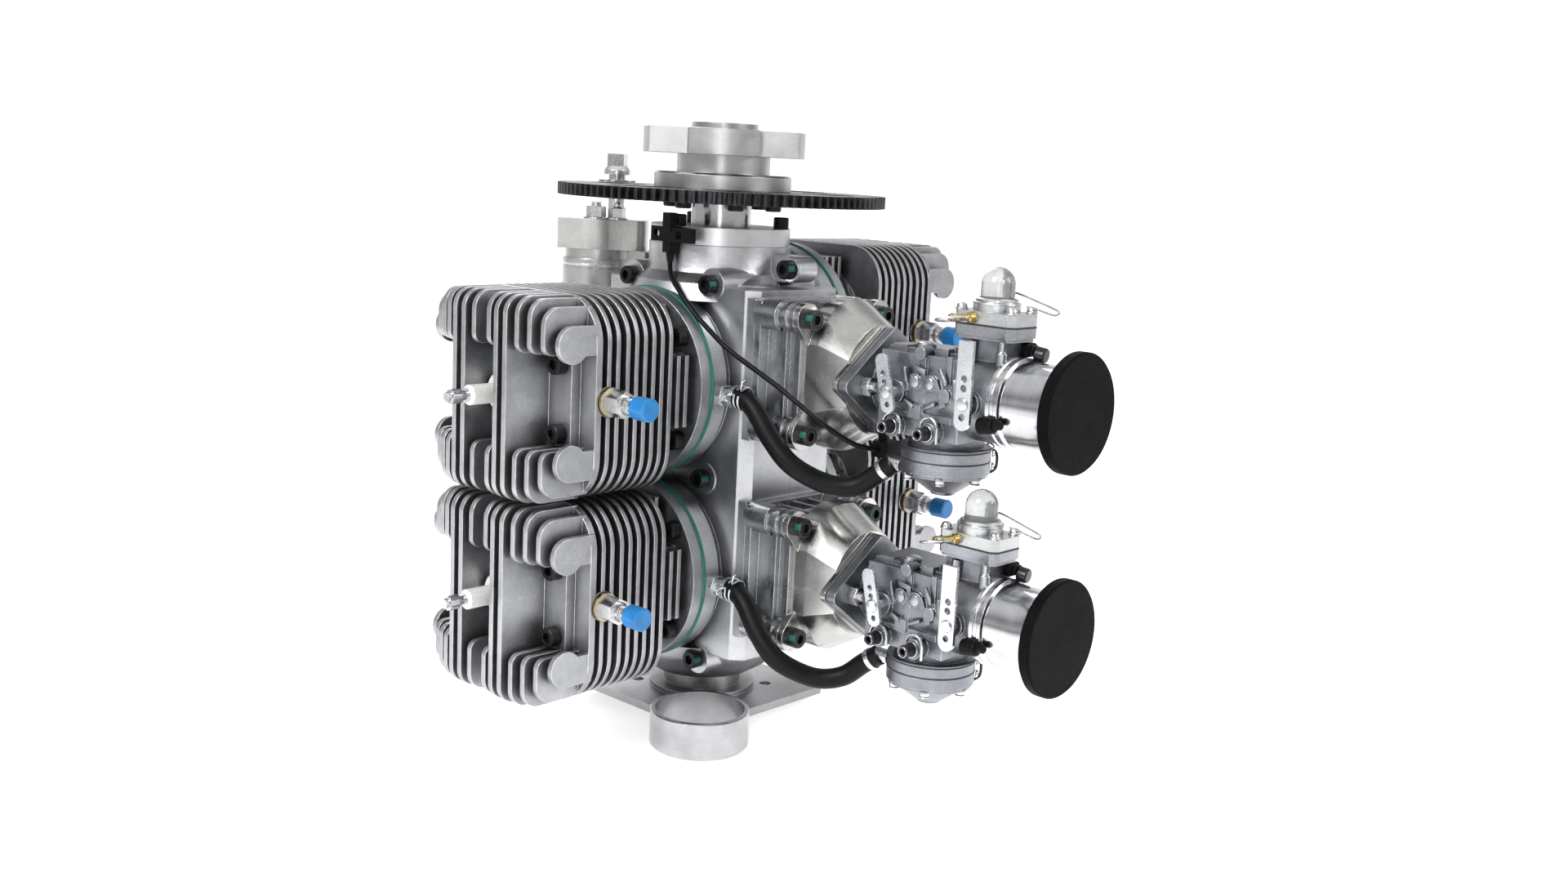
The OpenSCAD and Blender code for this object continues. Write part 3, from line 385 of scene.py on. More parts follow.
M["pump2"] = two_finish("pump_finishes", pump_mask, ((0.50, 0.51, 0.52), (0.66, 0.67, 0.68), 1.0, 0.28, 0.42), ((0.30, 0.31, 0.34), (0.46, 0.47, 0.5), 1.0, 0.28, 0.42))
M["dome"] = dome_material()
M["plug"] = along_material("plug_finishes", [
    (0, (0.55, 0.55, 0.56), 1.0, 0.28), (147.7, (0.86, 0.86, 0.83), 0.0, 0.16), (166.9, (0.62, 0.62, 0.63), 1.0, 0.25)])
M["valve"] = along_material("valve_finishes", [
    (0, (0.50, 0.43, 0.30), 1.0, 0.32), (52.2, (0.70, 0.70, 0.71), 1.0, 0.24)], axis="Y", mirrored=True)

FINISH = {
    "crankcase_left": "case", "crankcase_right": "case", "case_bolts": "screw", "nose_cover": "nose", "mount_plate": "plate",
    "isolator_cups": "cup", "cylinder_bolts": "screw", "spark_plugs": "plug", "crankshaft": "steel", "prop_hub": "hub",
    "ring_gear": "ring", "hub_fasteners": "hubnut", "main_bearings": "steel", "intake_fasteners": "intake_screws", "reed_valves": "black",
    "carb_adaptors": "adaptor", "pump_covers": "pump2", "metering_covers": "carb", "intake_trumpets": "trumpet", "intake_discs": "disc",
    "hose_fittings": "zinc", "speed_sensor": "black", "sensor_cable": "cable", "starter_motor": "starter_body",
    "starter_bracket": "starter", "starter_pinion": "nuts", "decomp_valve_bodies": "valve", "gaskets": "gaskets2"}
for n in NODES:
    if n.startswith(("barrel", "head")):
        FINISH[n] = "fins"
    elif n.startswith("piston"):
        FINISH[n] = "nose"
    elif n.startswith("conrod"):
        FINISH[n] = "steel"
    elif n.startswith("intake_housing"):
        FINISH[n] = "housing"
    elif n.startswith("carb_body"):
        FINISH[n] = "carb"
    elif n.startswith(("throttle", "choke")):
        FINISH[n] = "zinc"
    elif n.startswith("primer"):
        FINISH[n] = "dome"
    elif n.startswith("impulse"):
        FINISH[n] = "rubber"
    elif n.startswith("decomp_button"):
        FINISH[n] = "blue"


def smooth_group(angle):
    g = bpy.data.node_groups.new("smooth_by_edge", "GeometryNodeTree")
    g.interface.new_socket("Geometry", in_out="INPUT", socket_type="NodeSocketGeometry")
    g.interface.new_socket("Geometry", in_out="OUTPUT", socket_type="NodeSocketGeometry")
    gi, go = g.nodes.new("NodeGroupInput"), g.nodes.new("NodeGroupOutput")
    weld = g.nodes.new("GeometryNodeMergeByDistance")
    weld.inputs["Distance"].default_value = 1e-6
    face = g.nodes.new("GeometryNodeSetShadeSmooth")
    face.domain = "FACE"
    edge = g.nodes.new("GeometryNodeSetShadeSmooth")
    edge.domain = "EDGE"
    edge.inputs["Shade Smooth"].default_value = False
    ang = g.nodes.new("GeometryNodeInputMeshEdgeAngle")
    cmp_ = g.nodes.new("FunctionNodeCompare")
    cmp_.data_type = "FLOAT"
    cmp_.operation = "GREATER_THAN"
    cmp_.inputs[1].default_value = angle
    link = g.links.new
    link(gi.outputs[0], weld.inputs["Geometry"])
    link(weld.outputs[0], face.inputs["Geometry"])
    link(face.outputs[0], edge.inputs["Geometry"])
    link(ang.outputs[0], cmp_.inputs[0])
    link(cmp_.outputs[0], edge.inputs["Selection"])
    link(edge.outputs[0], go.inputs[0])
    return g


SMOOTH = smooth_group(math.radians(28))
for n, o in NODES.items():
    if not o.material_slots:
        o.data.materials.append(M[FINISH[n]])
    for sl in o.material_slots:
        sl.material = M[FINISH[n]]
    mod = o.modifiers.new("smooth", "NODES")
    mod.node_group = SMOOTH


# ---------------------------------------------------------------- piece kit
def finish_mesh(name, bm, mat, body, smooth=True, angle=30):
    me = bpy.data.meshes.new(name)
    bmesh.ops.remove_doubles(bm, verts=bm.verts, dist=1e-7)
    bmesh.ops.recalc_face_normals(bm, faces=bm.faces)
    bm.to_mesh(me)
    bm.free()
    me.materials.append(M[mat])
    if smooth:
        me.shade_smooth()
        me.set_sharp_from_angle(angle=math.radians(angle))
    o = bpy.data.objects.new(name, me)
    bpy.context.scene.collection.objects.link(o)
    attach(o, body)
    return o


def axes_for(axis):
    w = Vector(axis).normalized()
    t = Vector((0, 0, 1)) if abs(w.z) < 0.9 else Vector((0, 1, 0))
    u = t.cross(w).normalized()
    return u, w.cross(u), w


def add_lathe(bm, origin, axis, profile, seg=40, sweep=360.0, start=0.0, up=None):
    """profile: (radius mm, distance mm along axis) pairs, closed on the axis where the radius is 0."""
    u, v, w = axes_for(axis)
    if up is not None:
        u = (Vector(up) - w * Vector(up).dot(w)).normalized()
        v = w.cross(u)
    full = abs(sweep) >= 359.9
    rings, n = [], seg if full else seg + 1
    for i in range(n):
        a = math.radians(start + sweep * i / seg)
        rings.append([bm.verts.new(origin + (u * math.cos(a) + v * math.sin(a)) * (r / 1000) + w * (h / 1000)) for r, h in profile])
    for i in range(seg):
        a, b = rings[i], rings[(i + 1) % n]
        for j in range(len(profile) - 1):
            try:
                bm.faces.new((a[j], b[j], b[j + 1], a[j + 1]))
            except ValueError:
                pass
    if not full:
        for r in (rings[0], rings[-1]):
            try:
                bm.faces.new(r)
            except ValueError:
                pass


def lathe(name, origin, axis, profile, mat, body="engine_block", slot=None, seg=40):
    bm = bmesh.new()
    add_lathe(bm, origin, axis, profile, seg)
    return finish_mesh(name, bm, mat, body)


def spline(points, n=8):
    """Catmull-Rom through the points."""
    out, m = [], len(points)
    for i in range(m - 1):
        p0, p1, p2, p3 = points[max(i - 1, 0)], points[i], points[i + 1], points[min(i + 2, m - 1)]
        for j in range(n):
            t = j / n
            out.append(0.5 * ((2 * p1) + (p2 - p0) * t + (2 * p0 - 5 * p1 + 4 * p2 - p3) * t * t + (3 * p1 - p0 - 3 * p2 + p3) * t ** 3))
    out.append(points[-1].copy())
    return out


def add_tube(bm, pts, radius, seg=12, closed=False, scale=None, caps=True):
    """A round tube along points in metres. radius in mm, or a list of them."""
    m = len(pts)
    prev = None
    rings = []
    for i, p in enumerate(pts):
        if closed:
            t = (pts[(i + 1) % m] - pts[(i - 1) % m]).normalized()
        else:
            t = (pts[min(i + 1, m - 1)] - pts[max(i - 1, 0)]).normalized()
        if prev is None:
            u = axes_for(t)[0]
        else:
            u = (prev - t * prev.dot(t)).normalized()
        prev = u
        v = t.cross(u)
        r = (radius[i] if isinstance(radius, (list, tuple)) else radius) / 1000
        rings.append([bm.verts.new(p + (u * math.cos(2 * math.pi * j / seg) + v * math.sin(2 * math.pi * j / seg)) * r) for j in range(seg)])
    for i in range(m if closed else m - 1):
        a, b = rings[i], rings[(i + 1) % m]
        for j in range(seg):
            bm.faces.new((a[j], a[(j + 1) % seg], b[(j + 1) % seg], b[j]))
    if not closed and caps:
        bm.faces.new(rings[0][::-1])
        bm.faces.new(rings[-1])


def tube(name, pts, radius, mat, body="engine_block", slot=None, seg=12, closed=False, n=8):
    bm = bmesh.new()
    add_tube(bm, spline(pts, n) if n else pts, radius, seg, closed)
    return finish_mesh(name, bm, mat, body)


def add_box(bm, lo, hi, bevel=0.4, rot=None, pivot=None, segs=2):
    """A box with rounded edges, corners in mm from the datum."""
    tmp = bmesh.new()
    bmesh.ops.create_cube(tmp, size=1.0)
    c = [(a + b) / 2 for a, b in zip(lo, hi)]
    s = [abs(b - a) for a, b in zip(lo, hi)]
    for vv in tmp.verts:
        vv.co = Vector((vv.co.x * s[0], vv.co.y * s[1], vv.co.z * s[2]))
    if bevel:
        bmesh.ops.bevel(tmp, geom=list(tmp.edges), offset=min(bevel, min(s) * 0.45), segments=segs, affect="EDGES", profile=0.5)
    for vv in tmp.verts:
        q = vv.co + Vector(c)
        if rot is not None:
            pv = Vector(pivot if pivot is not None else c)
            q = pv + rot @ (q - pv)
        vv.co = P(q.x, q.y, q.z)
    me = bpy.data.meshes.new("t")
    tmp.to_mesh(me)
    tmp.free()
    bm.from_mesh(me)
    bpy.data.meshes.remove(me)


def box(name, lo, hi, mat, body="engine_block", slot=None, bevel=0.4, rot=None, pivot=None):
    bm = bmesh.new()
    add_box(bm, lo, hi, bevel, rot, pivot)
    return finish_mesh(name, bm, mat, body)


def torus_pts(centre, axis, r, n=40, start=0, sweep=360, up=None):
    u, v, w = axes_for(axis)
    if up is not None:
        u = (Vector(up) - w * Vector(up).dot(w)).normalized()
        v = w.cross(u)
    k = n if sweep >= 359.9 else n + 1
    return [centre + (u * math.cos(math.radians(start + sweep * i / n)) + v * math.sin(math.radians(start + sweep * i / n))) * (r / 1000) for i in range(k)]


# ---------------------------------------------------------------- paint marks on the screws
def paint_marks():
    bm = bmesh.new()
    # on the side wall of the clamp screws' heads
    spots = [(P(-35.5, -31, z), (-1, 0, 0), 5.0, (0.0, -1.0, 0.15), 30) for z in (104, 0.5, -100)]
    spots.append((P(0.3, -53, 113), (-1, 0, 0), 5.0, (0.0, -1.0, 0.2), 36))
    for c, ax, r, up, sweep in spots:
        add_lathe(bm, c, ax, [(r * 0.90, 5.8), (r * 0.92, 6.1), (r * 0.97, 5.9), (r + 0.16, 5.2), (r + 0.18, 1.6), (r - 0.2, 1.4)], seg=10, sweep=sweep, start=-sweep / 2, up=up)
    # on the left third of the intake housing's screws
    for cz in CARB.values():
        for x in (-28, 28):
            for z in (-29.5, 29.5):
                add_lathe(bm, P(x, -93.5, cz + z), (0, -1, 0), [(4.0, 5.5), (4.05, 6.14), (4.8, 6.06), (5.18, 5.4), (5.2, 2.6), (4.8, 2.4)], seg=10, sweep=34, start=-17, up=(-1.0, 0.0, 0.25))
    finish_mesh("paint_marks", bm, "paint", "engine_block")
    # bright washer under the screw beside the nose
    bm = bmesh.new()
    add_lathe(bm, P(0.3, -53, 113), (-1, 0, 0), [(5.2, 0), (6.5, 0), (6.6, 0.25), (6.4, 0.6), (5.2, 0.62)], 36)
    finish_mesh("washer_ring", bm, "zinc", "engine_block")
    # the base gaskets' rims stand out between barrel and case
    bm = bmesh.new()
    for side, z in ((-1, 51), (-1, -51), (1, 74), (1, -28)):
        add_lathe(bm, P(0, 0, z), (side, 0, 0), [(49.3, 49.5), (50.25, 49.6), (50.35, 50.2), (50.25, 50.9), (49.3, 51.0)], 96)
    finish_mesh("gasket_rims", bm, "gasket", "engine_block")


paint_marks()


# ---------------------------------------------------------------- hoses, clamps and the sensor cable
HOSE = {
    "upper": [(-42, -61, -14), (-42, -66, -14.3), (-42, -73, -19), (-41, -84, -32), (-38, -96, -43.5), (-28, -110, -51.5), (-20, -122, -52), (-15, -132, -45), (-12.5, -140.6, -37.5)],
    "lower": [(-42, -61, -9.3), (-42, -66, -9.6), (-42.8, -73, -14.3), (-43.5, -84, -27.3), (-41, -96, -38.8), (-29, -110, -46.8), (-20, -122, -45), (-14.5, -131.5, -36.5), (-12.5, -140, -30)]}
CABLE = [(-42.0, -5.3, 119), (-43.2, -6.6, 112.5), (-47.2, -12.6, 106.5), (-50, -22, 100), (-50, -32, 91), (-49, -42, 83.5), (-45, -56, 72.5), (-41, -84, 59),
         (-38, -100, 50), (-34, -112, 42), (-20, -121, 32), (-8, -127, 29)]


def hoses():
    for k, pts in HOSE.items():
        line = spline([P(x, y, z + CARB[k]) for x, y, z in pts], 10)
        n = len(line)
        rad = [5.2 + 0.25 * math.exp(-((i) / 3.0) ** 2) + 0.2 * math.exp(-((n - 1 - i) / 3.0) ** 2) for i in range(n)]
        bm = bmesh.new()
        add_tube(bm, line, rad, 24)
        o = finish_mesh("hose_" + k, bm, "rubber", "engine_block", angle=50)
        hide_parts("impulse_hose_" + k)
        # spring clamp: two wire turns and two ears
        bm = bmesh.new()
        c = line[7]
        t = (line[8] - line[6]).normalized()
        for s in (-1.5, 1.5):
            add_tube(bm, torus_pts(c + t * (s / 1000), t, 5.95, 30, 15, 330, up=(-1, 0, 0.7)), 0.62, 8)
        for s, side in ((-1.5, 1), (1.5, -1)):
            ring = torus_pts(c + t * (s / 1000), t, 5.95, 30, 15, 330, up=(-1, 0, 0.7))
            e = ring[0] if side > 0 else ring[-1]
            out = (e - c).normalized()
            side_v = t.cross(out).normalized() * side
            pts_e = [e, e + out * 0.0022 + side_v * 0.0004, e + out * 0.0042 + side_v * 0.0016, e + out * 0.0046 + side_v * 0.0036, e + out * 0.003 + side_v * 0.0042]
            add_tube(bm, spline(pts_e, 5), 0.62, 8)
        finish_mesh("hose_clamp_" + k, bm, "zinc", "engine_block")
        # narrow band at the carburettor end
        c = line[-7]
        t = (line[-6] - line[-8]).normalized()
        bm = bmesh.new()
        add_lathe(bm, c - t * 0.0014, t, [(5.15, 0), (5.75, 0.1), (5.8, 1.2), (5.8, 1.8), (5.75, 2.7), (5.15, 2.8)], 36)
        finish_mesh("hose_band_" + k, bm, "zinc", "engine_block")
    line = spline([P(*p) for p in CABLE], 10)
    bm = bmesh.new()
    add_tube(bm, line, 1.35, 14)
    o = finish_mesh("cable_sleeve", bm, "cable", "engine_block", angle=50)
    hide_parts("sensor_cable")
    # strain relief where the cable leaves the sensor
    d = (line[6] - line[0]).normalized()
    bm = bmesh.new()
    n = 9
    add_tube(bm, [line[i] for i in range(n)], [2.6 - 1.1 * (i / (n - 1)) + (0.18 if i % 2 else 0.0) for i in range(n)], 16)
    finish_mesh("cable_boot", bm, "black", "engine_block")


hoses()


# ---------------------------------------------------------------- carburettor dress
def screw_head(bm, c, axis, r, h, slot_dir=None):
    """A domed pan head."""
    add_lathe(bm, c, axis, [(0, 0), (r * 0.96, 0), (r, h * 0.2), (r * 0.96, h * 0.55), (r * 0.78, h * 0.85), (r * 0.45, h * 0.98), (0, h)], 20)


def u_loop(bm, x, y, z, w, h, leg, r=0.62):
    """An upside-down U of wire on the casting's near side."""
    pts = [P(x, y + w, z - leg)]
    for i in range(13):
        a = math.pi * i / 12
        pts.append(P(x, y + w * math.cos(a), z + h * math.sin(a)))
    pts.append(P(x, y - w, z - leg))
    add_tube(bm, pts, r, 8)


def carb_dress():
    for k, z0 in CARB.items():
        def Q(x, y, z):
            return P(x, y, z + z0)
        # bright hoops round the two adjusting screws
        bm = bmesh.new()
        u_loop(bm, -23.9, -147.2, z0 - 15.6, 5.3, 5.3, 4.2, 0.75)
        u_loop(bm, -25.9, -171.0, z0 - 14.6, 5.0, 5.4, 6.5, 0.75)
        finish_mesh("screw_hoops_" + k, bm, "zinc", "engine_block")
        # springs under their heads
        bm = bmesh.new()
        for y, x0, x1 in ((-146.5, -23.4, -24.6), (-169.7, -25.4, -26.6)):
            turns, m = 2, 40
            add_tube(bm, [Q(x0 + (x1 - x0) * i / m, y + 3.75 * math.cos(2 * math.pi * turns * i / m), -17 + 3.75 * math.sin(2 * math.pi * turns * i / m)) for i in range(m + 1)], 0.35, 6)
        finish_mesh("screw_springs_" + k, bm, "steel", "engine_block")
        # slots' bright rims on the heads
        bm = bmesh.new()
        for y, x in ((-146.5, -30.9), (-169.7, -32.9)):
            add_tube(bm, torus_pts(Q(x, y, -17), (1, 0, 0), 2.55, 24), 0.22, 6, closed=True)
        finish_mesh("screw_rims_" + k, bm, "steel", "engine_block")
        # dark gasket lines of the metering chamber
        bm = bmesh.new()
        for za, r in ((-32.75, 22.3), (-27.4, 22.28)):
            add_lathe(bm, Q(0, -163, za), (0, 0, 1), [(r - 1, 0), (r, 0.05), (r + 0.12, 0.45), (r, 0.8), (r - 1, 0.85)], 64)
        finish_mesh("meter_gasket_" + k, bm, "darkgasket", "engine_block")
        # wire bail round the metering cover
        bm = bmesh.new()
        a0, a1 = 18, 200
        rim = [Q(23.3 * math.cos(math.radians(a)), -163 - 23.3 * math.sin(math.radians(a)), -25.2) for a in range(a0, a1, 8)]
        drop = [Q(23.9 * math.cos(math.radians(a0 + 4)) + 0.4, -163 - 23.9 * math.sin(math.radians(a0 + 4)), -25.6), Q(23.4, -171.5, -30), Q(22.6, -172.5, -36), Q(20.5, -172, -39.8), Q(17.2, -171.5, -41.6)]
        add_tube(bm, spline(drop[::-1], 5) + rim, 0.5, 8)
        finish_mesh("meter_bail_" + k, bm, "dark", "engine_block")
        # the bail's spring clip at the far side
        bm = bmesh.new()
        for zc in (-29.0, -36.0):
            add_lathe(bm, Q(16.4, -179.1, zc), (0.55, -0.83, 0), [(0, 0), (2.2, 0), (2.3, 0.6), (1.6, 1.5), (0, 1.7)], 18)
        finish_mesh("bail_rivets_" + k, bm, "nuts", "engine_block")
        bm = bmesh.new()
        clip = [Q(15.0, -179.0, -26.6), Q(16.8, -181.2, -28.6), Q(17.2, -181.8, -32.6), Q(16.8, -181.2, -36.8), Q(14.8, -178.4, -39.4)]
        add_tube(bm, spline(clip, 6), 0.75, 8)
        finish_mesh("bail_clip_" + k, bm, "dark", "engine_block")
        # metering chamber screw heads, domed and bright
        bm = bmesh.new()
        for i in range(6):
            a = math.radians(30 + 60 * i)
            screw_head(bm, Q(19 * math.cos(a), -163 + 19 * math.sin(a), -42.3), (0, 0, -1), 2.55, 0.9)
        finish_mesh("meter_screws_" + k, bm, "nuts", "engine_block")
        # pump: gasket line, screws, ring round the dome, fuel nipple wire, side post
        bm = bmesh.new()
        out = []
        for sx, sy in ((1, 1), (-1, 1), (-1, -1), (1, -1)):
            cs = [(11.65, 14.35), (8.55, 17.45)] if sx * sy > 0 else [(8.55, 17.45), (11.65, 14.35)]
            out += [(sx * a, sy * b) for a, b in cs]
        lo_ = [bm.verts.new(Q(x, -187 + y, 35.3)) for x, y in out]
        hi_ = [bm.verts.new(Q(x, -187 + y, 36.2)) for x, y in out]
        for i in range(8):
            j = (i + 1) % 8
            bm.faces.new((lo_[i], lo_[j], hi_[j], hi_[i]))
        bm.faces.new(lo_[::-1])
        bm.faces.new(hi_)
        finish_mesh("pump_gasket_" + k, bm, "darkgasket", "engine_block", smooth=False)
        bm = bmesh.new()
        for sx in (-1, 1):
            for sy in (-1, 1):
                c = Q(sx * 8.2, -187 + sy * 14.3, 42.1)
                add_lathe(bm, c, (0, 0, 1), [(0, -0.05), (3.1, 0), (3.2, 0.4), (3.1, 0.6), (0, 0.62)], 24)
                screw_head(bm, Q(sx * 8.2, -187 + sy * 14.3, 42.3), (0, 0, 1), 2.62, 2.9)
        finish_mesh("pump_screws_" + k, bm, "nuts", "engine_block")
        bm = bmesh.new()
        add_lathe(bm, Q(0, -187, 45.4), (0, 0, 1), [(9.0, 0), (11.35, 0), (11.5, 0.4), (11.4, 0.9), (10.1, 1.2), (10.05, 2.4), (9.2, 2.9), (8.4, 2.9)], 56)
        finish_mesh("dome_ring_" + k, bm, "pump", "engine_block")
        # wire tail standing off the dome's right side
        bm = bmesh.new()
        loop = [Q(8.3, -189.6, 51.2), Q(8.6, -196, 49.9), Q(8.4, -206, 47.3), Q(8.2, -213.6, 45.3), Q(8.0, -216.2, 44.1), Q(7.9, -215.4, 42.7), Q(7.8, -212.6, 42.6), Q(7.6, -205, 44.2), Q(7.0, -199.0, 45.2)]
        add_tube(bm, spline(loop, 6), 0.5, 8)
        finish_mesh("dome_wire_" + k, bm, "carb", "engine_block")
        # fuel nipple sleeve and its wire
        bm = bmesh.new()
        d = Vector((-math.cos(math.radians(26)), math.sin(math.radians(26)), 0))
        base = Q(-10.6, -183, 39)
        add_lathe(bm, base + d * 0.001, d, [(0, 0), (2.5, 0), (2.6, 0.6), (2.6, 2.8), (1.7, 3.4), (1.65, 8.2), (2.15, 8.6), (2.15, 9.6), (1.7, 10.4), (1.6, 13.2), (0, 13.4)], 26)
        finish_mesh("fuel_nipple_" + k, bm, "brass", "engine_block")
        bm = bmesh.new()
        c = base + d * 0.0135 + Vector((0, 0, -0.0008))
        ring = [c + d * (0.0072 * math.cos(t_) - 0.0005) + Vector((0.35, 0.93, 0)).normalized() * (0.0062 * math.sin(t_)) + Vector((0, 0, -0.0016 * math.sin(t_))) for t_ in [2 * math.pi * i / 36 for i in range(36)]]
        add_tube(bm, ring, 0.62, 8, closed=True)
        finish_mesh("nipple_ring_" + k, bm, "zinc", "engine_block")
        # pale post and strut under the pump's near corner
        bm = bmesh.new()
        add_lathe(bm, Q(-8.2, -197.5, 15), (0, 0, 1), [(0, 0), (2.9, 0), (2.9, 8.5), (2.2, 9.2), (2.2, 13.8), (0, 14)], 24)
        add_lathe(bm, Q(-9.2, -181.0, 19), (0, 0, 1), [(0, 0), (2.3, 0), (2.3, 9.0), (0, 9.6)], 20)
        finish_mesh("pump_post_" + k, bm, "housing", "engine_block")
        # dark block and knob below the pump's far corner
        bm = bmesh.new()
        add_box(bm, (4.5, -203.0, z0 + 21.4), (13.0, -192.6, z0 + 28.2), 1.2)
        add_box(bm, (5.5, -205.2, z0 + 22.6), (11.6, -202.6, z0 + 27.2), 0.8)
        finish_mesh("pump_block_" + k, bm, "black", "engine_block")
        bm = bmesh.new()
        add_lathe(bm, Q(9.0, -205.0, 23.4), (0.15, -1, -0.12), [(0, 0), (3.4, 0), (3.7, 0.5), (3.7, 4.6), (3.2, 5.4), (0, 5.5)], 28)
        finish_mesh("pump_knob_" + k, bm, "dark", "engine_block")
        # knurled stop screw lying along the trumpet's near side
        bm = bmesh.new()
        ax = (-0.05, -1, 0.16)
        prof = [(0, 0), (3.0, 0)]
        for i in range(6):
            prof += [(4.0, 0.3 + 1.3 * i), (4.0, 1.1 + 1.3 * i), (3.6, 1.25 + 1.3 * i)]
        prof += [(3.4, 8.4), (2.2, 8.8), (2.2, 12.0), (1.7, 12.6), (0, 12.7)]
        add_lathe(bm, Q(-21.4, -197.2, -9.4), ax, prof, 26)
        finish_mesh("stop_screw_" + k, bm, "black", "engine_block")
        # raised clutter of the casting's near side
        bm = bmesh.new()
        for y, z, r, h in ((-157.0, 6, 3.1, 0.8), (-166.0, 6, 3.0, 0.8)):
            add_lathe(bm, Q(-21.2, y, z), (-1, 0, 0), [(0, 0), (r, 0), (r, h * 0.6), (r * 0.8, h), (0, h)], 22)
        add_lathe(bm, Q(-10, -154.3, 23.2), (0, 0, 1), [(0, 0), (4.3, 0), (4.2, 0.7), (3.4, 1.1), (0, 1.2)], 26)
        finish_mesh("casting_plugs_" + k, bm, "housing", "engine_block")
        bm = bmesh.new()
        R = Matrix.Rotation
        for (x, y, z), (sx, sy, sz), rot in (((-21.6, -152.2, 9.0), (2.6, 2.2, 7.5), -12), ((-21.9, -160.6, 12.4), (2.4, 8.0, 2.4), 14), ((-21.4, -155.0, -5.0), (2.4, 6.4, 2.2), 26),
                                            ((-22.0, -174.8, 10.4), (2.4, 2.0, 9.0), -30), ((-21.4, -181.5, 5.5), (2.2, 2.2, 9.5), -8), ((-21.2, -141.0, -4.5), (2.0, 6.5, 2.0), -18),
                                            ((-21.8, -167.5, -4.6), (2.4, 7.5, 2.2), -22)):
            add_box(bm, (x - sx / 2, y - sy / 2, z + z0 - sz / 2), (x + sx / 2, y + sy / 2, z + z0 + sz / 2), 0.7, R(math.radians(rot), 3, "X"))
        finish_mesh("casting_ribs_" + k, bm, "carb", "engine_block")


carb_dress()


# ---------------------------------------------------------------- levers
def lever_dress():
    for k, z0 in CARB.items():
        # pivot screws that turn with the levers
        bm = bmesh.new()
        add_lathe(bm, P(-29.6, -146.5, z0), (-1, 0, 0), [(0, 0), (3.2, 0), (3.3, 0.5), (2.9, 1.2), (0, 1.5)], 24)
        finish_mesh("throttle_screw_" + k, bm, "nuts", "throttle_%s_body" % k)
        bm = bmesh.new()
        add_lathe(bm, P(-27.2, -190.5, z0), (-1, 0, 0), [(0, 0), (3.0, 0), (3.1, 0.5), (2.7, 1.1), (0, 1.4)], 24)
        finish_mesh("choke_screw_" + k, bm, "nuts", "choke_%s_body" % k)


lever_dress()


# ---------------------------------------------------------------- starter and case dress
def hexagon(bm, c, axis, af, h, chamfer=0.5, up=None):
    r = af / 2 / math.cos(math.radians(30))
    add_lathe(bm, c, axis, [(0, 0), (r, 0), (r, h - chamfer), (r - chamfer, h), (r * 0.55, h), (r * 0.5, h - 0.4), (0, h - 0.4)], 6, up=up)


def case_dress():
    bm = bmesh.new()
    for x, y, af, h in ((-8.3, 96.2, 10, 6.5), (0.4, 87.6, 9, 6.2)):
        add_lathe(bm, P(x, y, 131), (0, 0, 1), [(0, 0), (af * 0.72, 0), (af * 0.72, 0.9), (0, 1.0)], 30)
        hexagon(bm, P(x, y, 131.9), (0, 0, 1), af, h, up=(1, 0.4, 0))
        add_lathe(bm, P(x, y, 131.9 + h - 0.5), (0, 0, 1), [(0, 0), (af * 0.3, 0), (af * 0.3, 2.6), (af * 0.22, 3.2), (0, 3.3)], 20)
    finish_mesh("starter_nuts", bm, "nuts", "engine_block", angle=25)
    # starter end cap lines
    bm = bmesh.new()
    for z in (44, 103.5):
        add_lathe(bm, P(1.5, 104.8, z), (0, 0, 1), [(20.5, -0.2), (21.12, 0), (21.18, 1.2), (20.5, 1.4)], 72)
    finish_mesh("starter_bands", bm, "zinc", "engine_block")


case_dress()


# ---------------------------------------------------------------- lights and floor
def area(name, loc, target, size, power, size_y=None, color=(1, 1, 1)):
    d = bpy.data.lights.new(name, "AREA")
    d.energy, d.size, d.color = power, size, color
    if size_y:
        d.shape, d.size_y = "RECTANGLE", size_y
    o = bpy.data.objects.new(name, d)
    bpy.context.scene.collection.objects.link(o)
    o.location = loc
    o.rotation_euler = (Vector(target) - Vector(loc)).to_track_quat("-Z", "Y").to_euler()
    return o


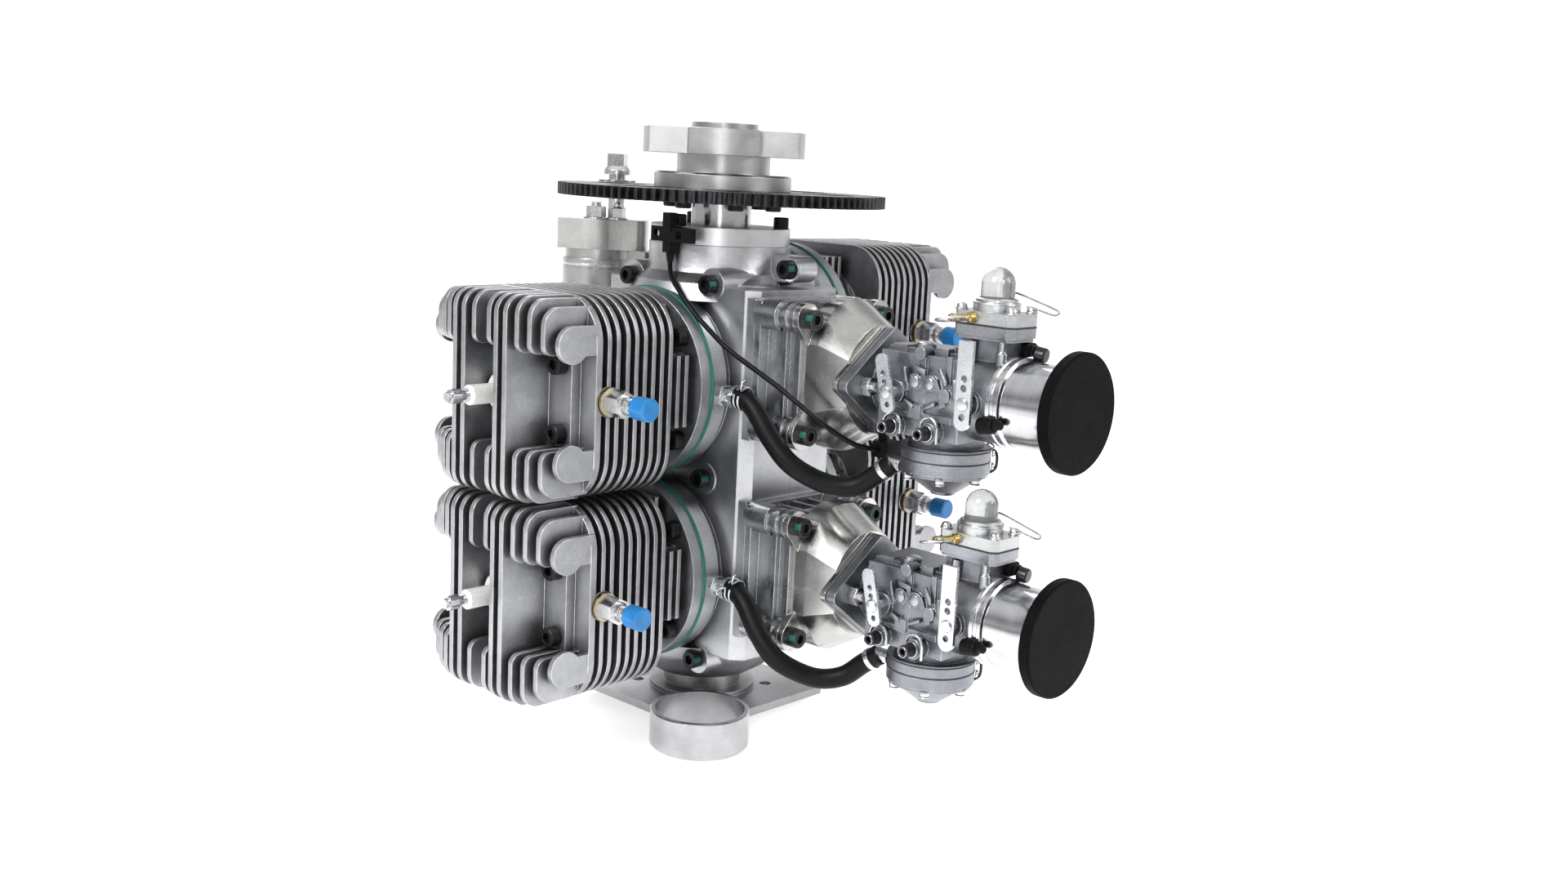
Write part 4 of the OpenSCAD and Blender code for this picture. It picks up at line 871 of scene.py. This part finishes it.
def studio():
    bm = bmesh.new()
    bmesh.ops.create_grid(bm, x_segments=2, y_segments=2, size=16.0)
    me = bpy.data.meshes.new("floor")
    bm.to_mesh(me)
    bm.free()
    k = Mat("floor_paper")
    a = k.noise(3.0, 3)
    fx, fy, fz = k.xyz()
    qx, qy = k.math("ADD", fx, 0.595), k.math("ADD", fy, 0.60)
    ahead = k.math("MAXIMUM", k.math("ADD", k.math("MULTIPLY", qx, 0.737), k.math("MULTIPLY", qy, 0.676)), 0.01)
    across = k.math("ABSOLUTE", k.math("SUBTRACT", k.math("MULTIPLY", qx, 0.676), k.math("MULTIPLY", qy, 0.737)))
    wedge = k.rng(k.math("DIVIDE", across, ahead), 0.62, 1.25, 1.0, 0.0)
    # painted pool of light: ahead of the camera and towards the object the floor is painted lighter and glows by
    # emission; towards the camera and to the sides it is painted grey and glows less
    painted_glow = k.math("MULTIPLY", wedge, k.rng(k.math("ADD", fx, fy), -0.95, -0.50))
    tone = k.mix(a, rgb(0.90, 0.90, 0.90), rgb(0.93, 0.93, 0.93))
    k.set(color=k.mix(painted_glow, rgb(0.80, 0.80, 0.80), tone), rough=0.75, spec=0.1)
    k.b.inputs["Emission Color"].default_value = (1, 1, 1, 1)
    k.put(k.b.inputs["Emission Strength"], k.rng(painted_glow, 0.0, 1.0, 0.12, 0.62))
    me.materials.append(k.m)
    o = bpy.data.objects.new("floor", me)
    o.location = (0, 0, cad_lo.z - 0.0004)
    bpy.context.scene.collection.objects.link(o)
    w = bpy.data.worlds.new("studio")
    bpy.context.scene.world = w
    w.use_nodes = True
    t = w.node_tree
    t.nodes.clear()
    new, link = t.nodes.new, t.links.new
    out, bg, tc = new("ShaderNodeOutputWorld"), new("ShaderNodeBackground"), new("ShaderNodeTexCoord")
    sep = new("ShaderNodeSeparateXYZ")
    link(tc.outputs["Generated"], sep.inputs[0])

    def ramp(value, lo, hi, stops):
        mr, r = new("ShaderNodeMapRange"), new("ShaderNodeValToRGB")
        link(value, mr.inputs[0])
        mr.inputs[1].default_value, mr.inputs[2].default_value = lo, hi
        link(mr.outputs[0], r.inputs[0])
        e = r.color_ramp.elements
        e[0].position, e[0].color = stops[0][0], (stops[0][1],) * 3 + (1,)
        e[1].position, e[1].color = stops[-1][0], (stops[-1][1],) * 3 + (1,)
        for pos, c in stops[1:-1]:
            e.new(pos).color = (c, c, c * 1.01, 1)
        return r.outputs[0]

    add = new("ShaderNodeMath")
    add.operation = "ADD"
    link(sep.outputs[0], add.inputs[0])
    link(sep.outputs[1], add.inputs[1])
    # behind the object all is white; the side the metal mirrors is grey with a bright top
    back = ramp(sep.outputs[2], -1, 1, ((0.0, 1.05), (0.66, 1.05), (0.74, 0.4), (0.84, 0.35), (1.0, 0.8)))
    front = ramp(sep.outputs[2], -1, 1, ((0.0, 0.34), (0.44, 0.40), (0.50, 0.24), (0.57, 0.60), (0.68, 0.24), (0.84, 0.75), (1.0, 0.9)))
    side = ramp(add.outputs[0], -1.42, 1.42, ((0.0, 0.0), (0.70, 0.0), (0.86, 1.0), (1.0, 1.0)))
    mix = new("ShaderNodeMix")
    mix.data_type = "RGBA"
    link(side, mix.inputs[0])
    link(front, mix.inputs[6])
    link(back, mix.inputs[7])
    link(mix.outputs[2], bg.inputs[0])
    bg.inputs[1].default_value = 1.0
    link(bg.outputs[0], out.inputs[0])
    area("key", (-1.6, -0.1, 1.3), (0, 0, 0.18), 0.9, 30, 0.9)
    area("fill", (0.6, -1.7, 1.0), (0, -0.05, 0.15), 0.8, 13, 0.8)
    area("rim", (0.9, 1.2, 1.3), (0, 0, 0.18), 0.8, 7, 0.8)
    area("strip", (-1.45, -1.2, 0.5), (0, 0, 0.2), 0.14, 4.5, 1.3)
    vs = bpy.context.scene.view_settings
    vs.view_transform = "Standard"
    vs.look = "None"
    vs.exposure = 0.0


studio()
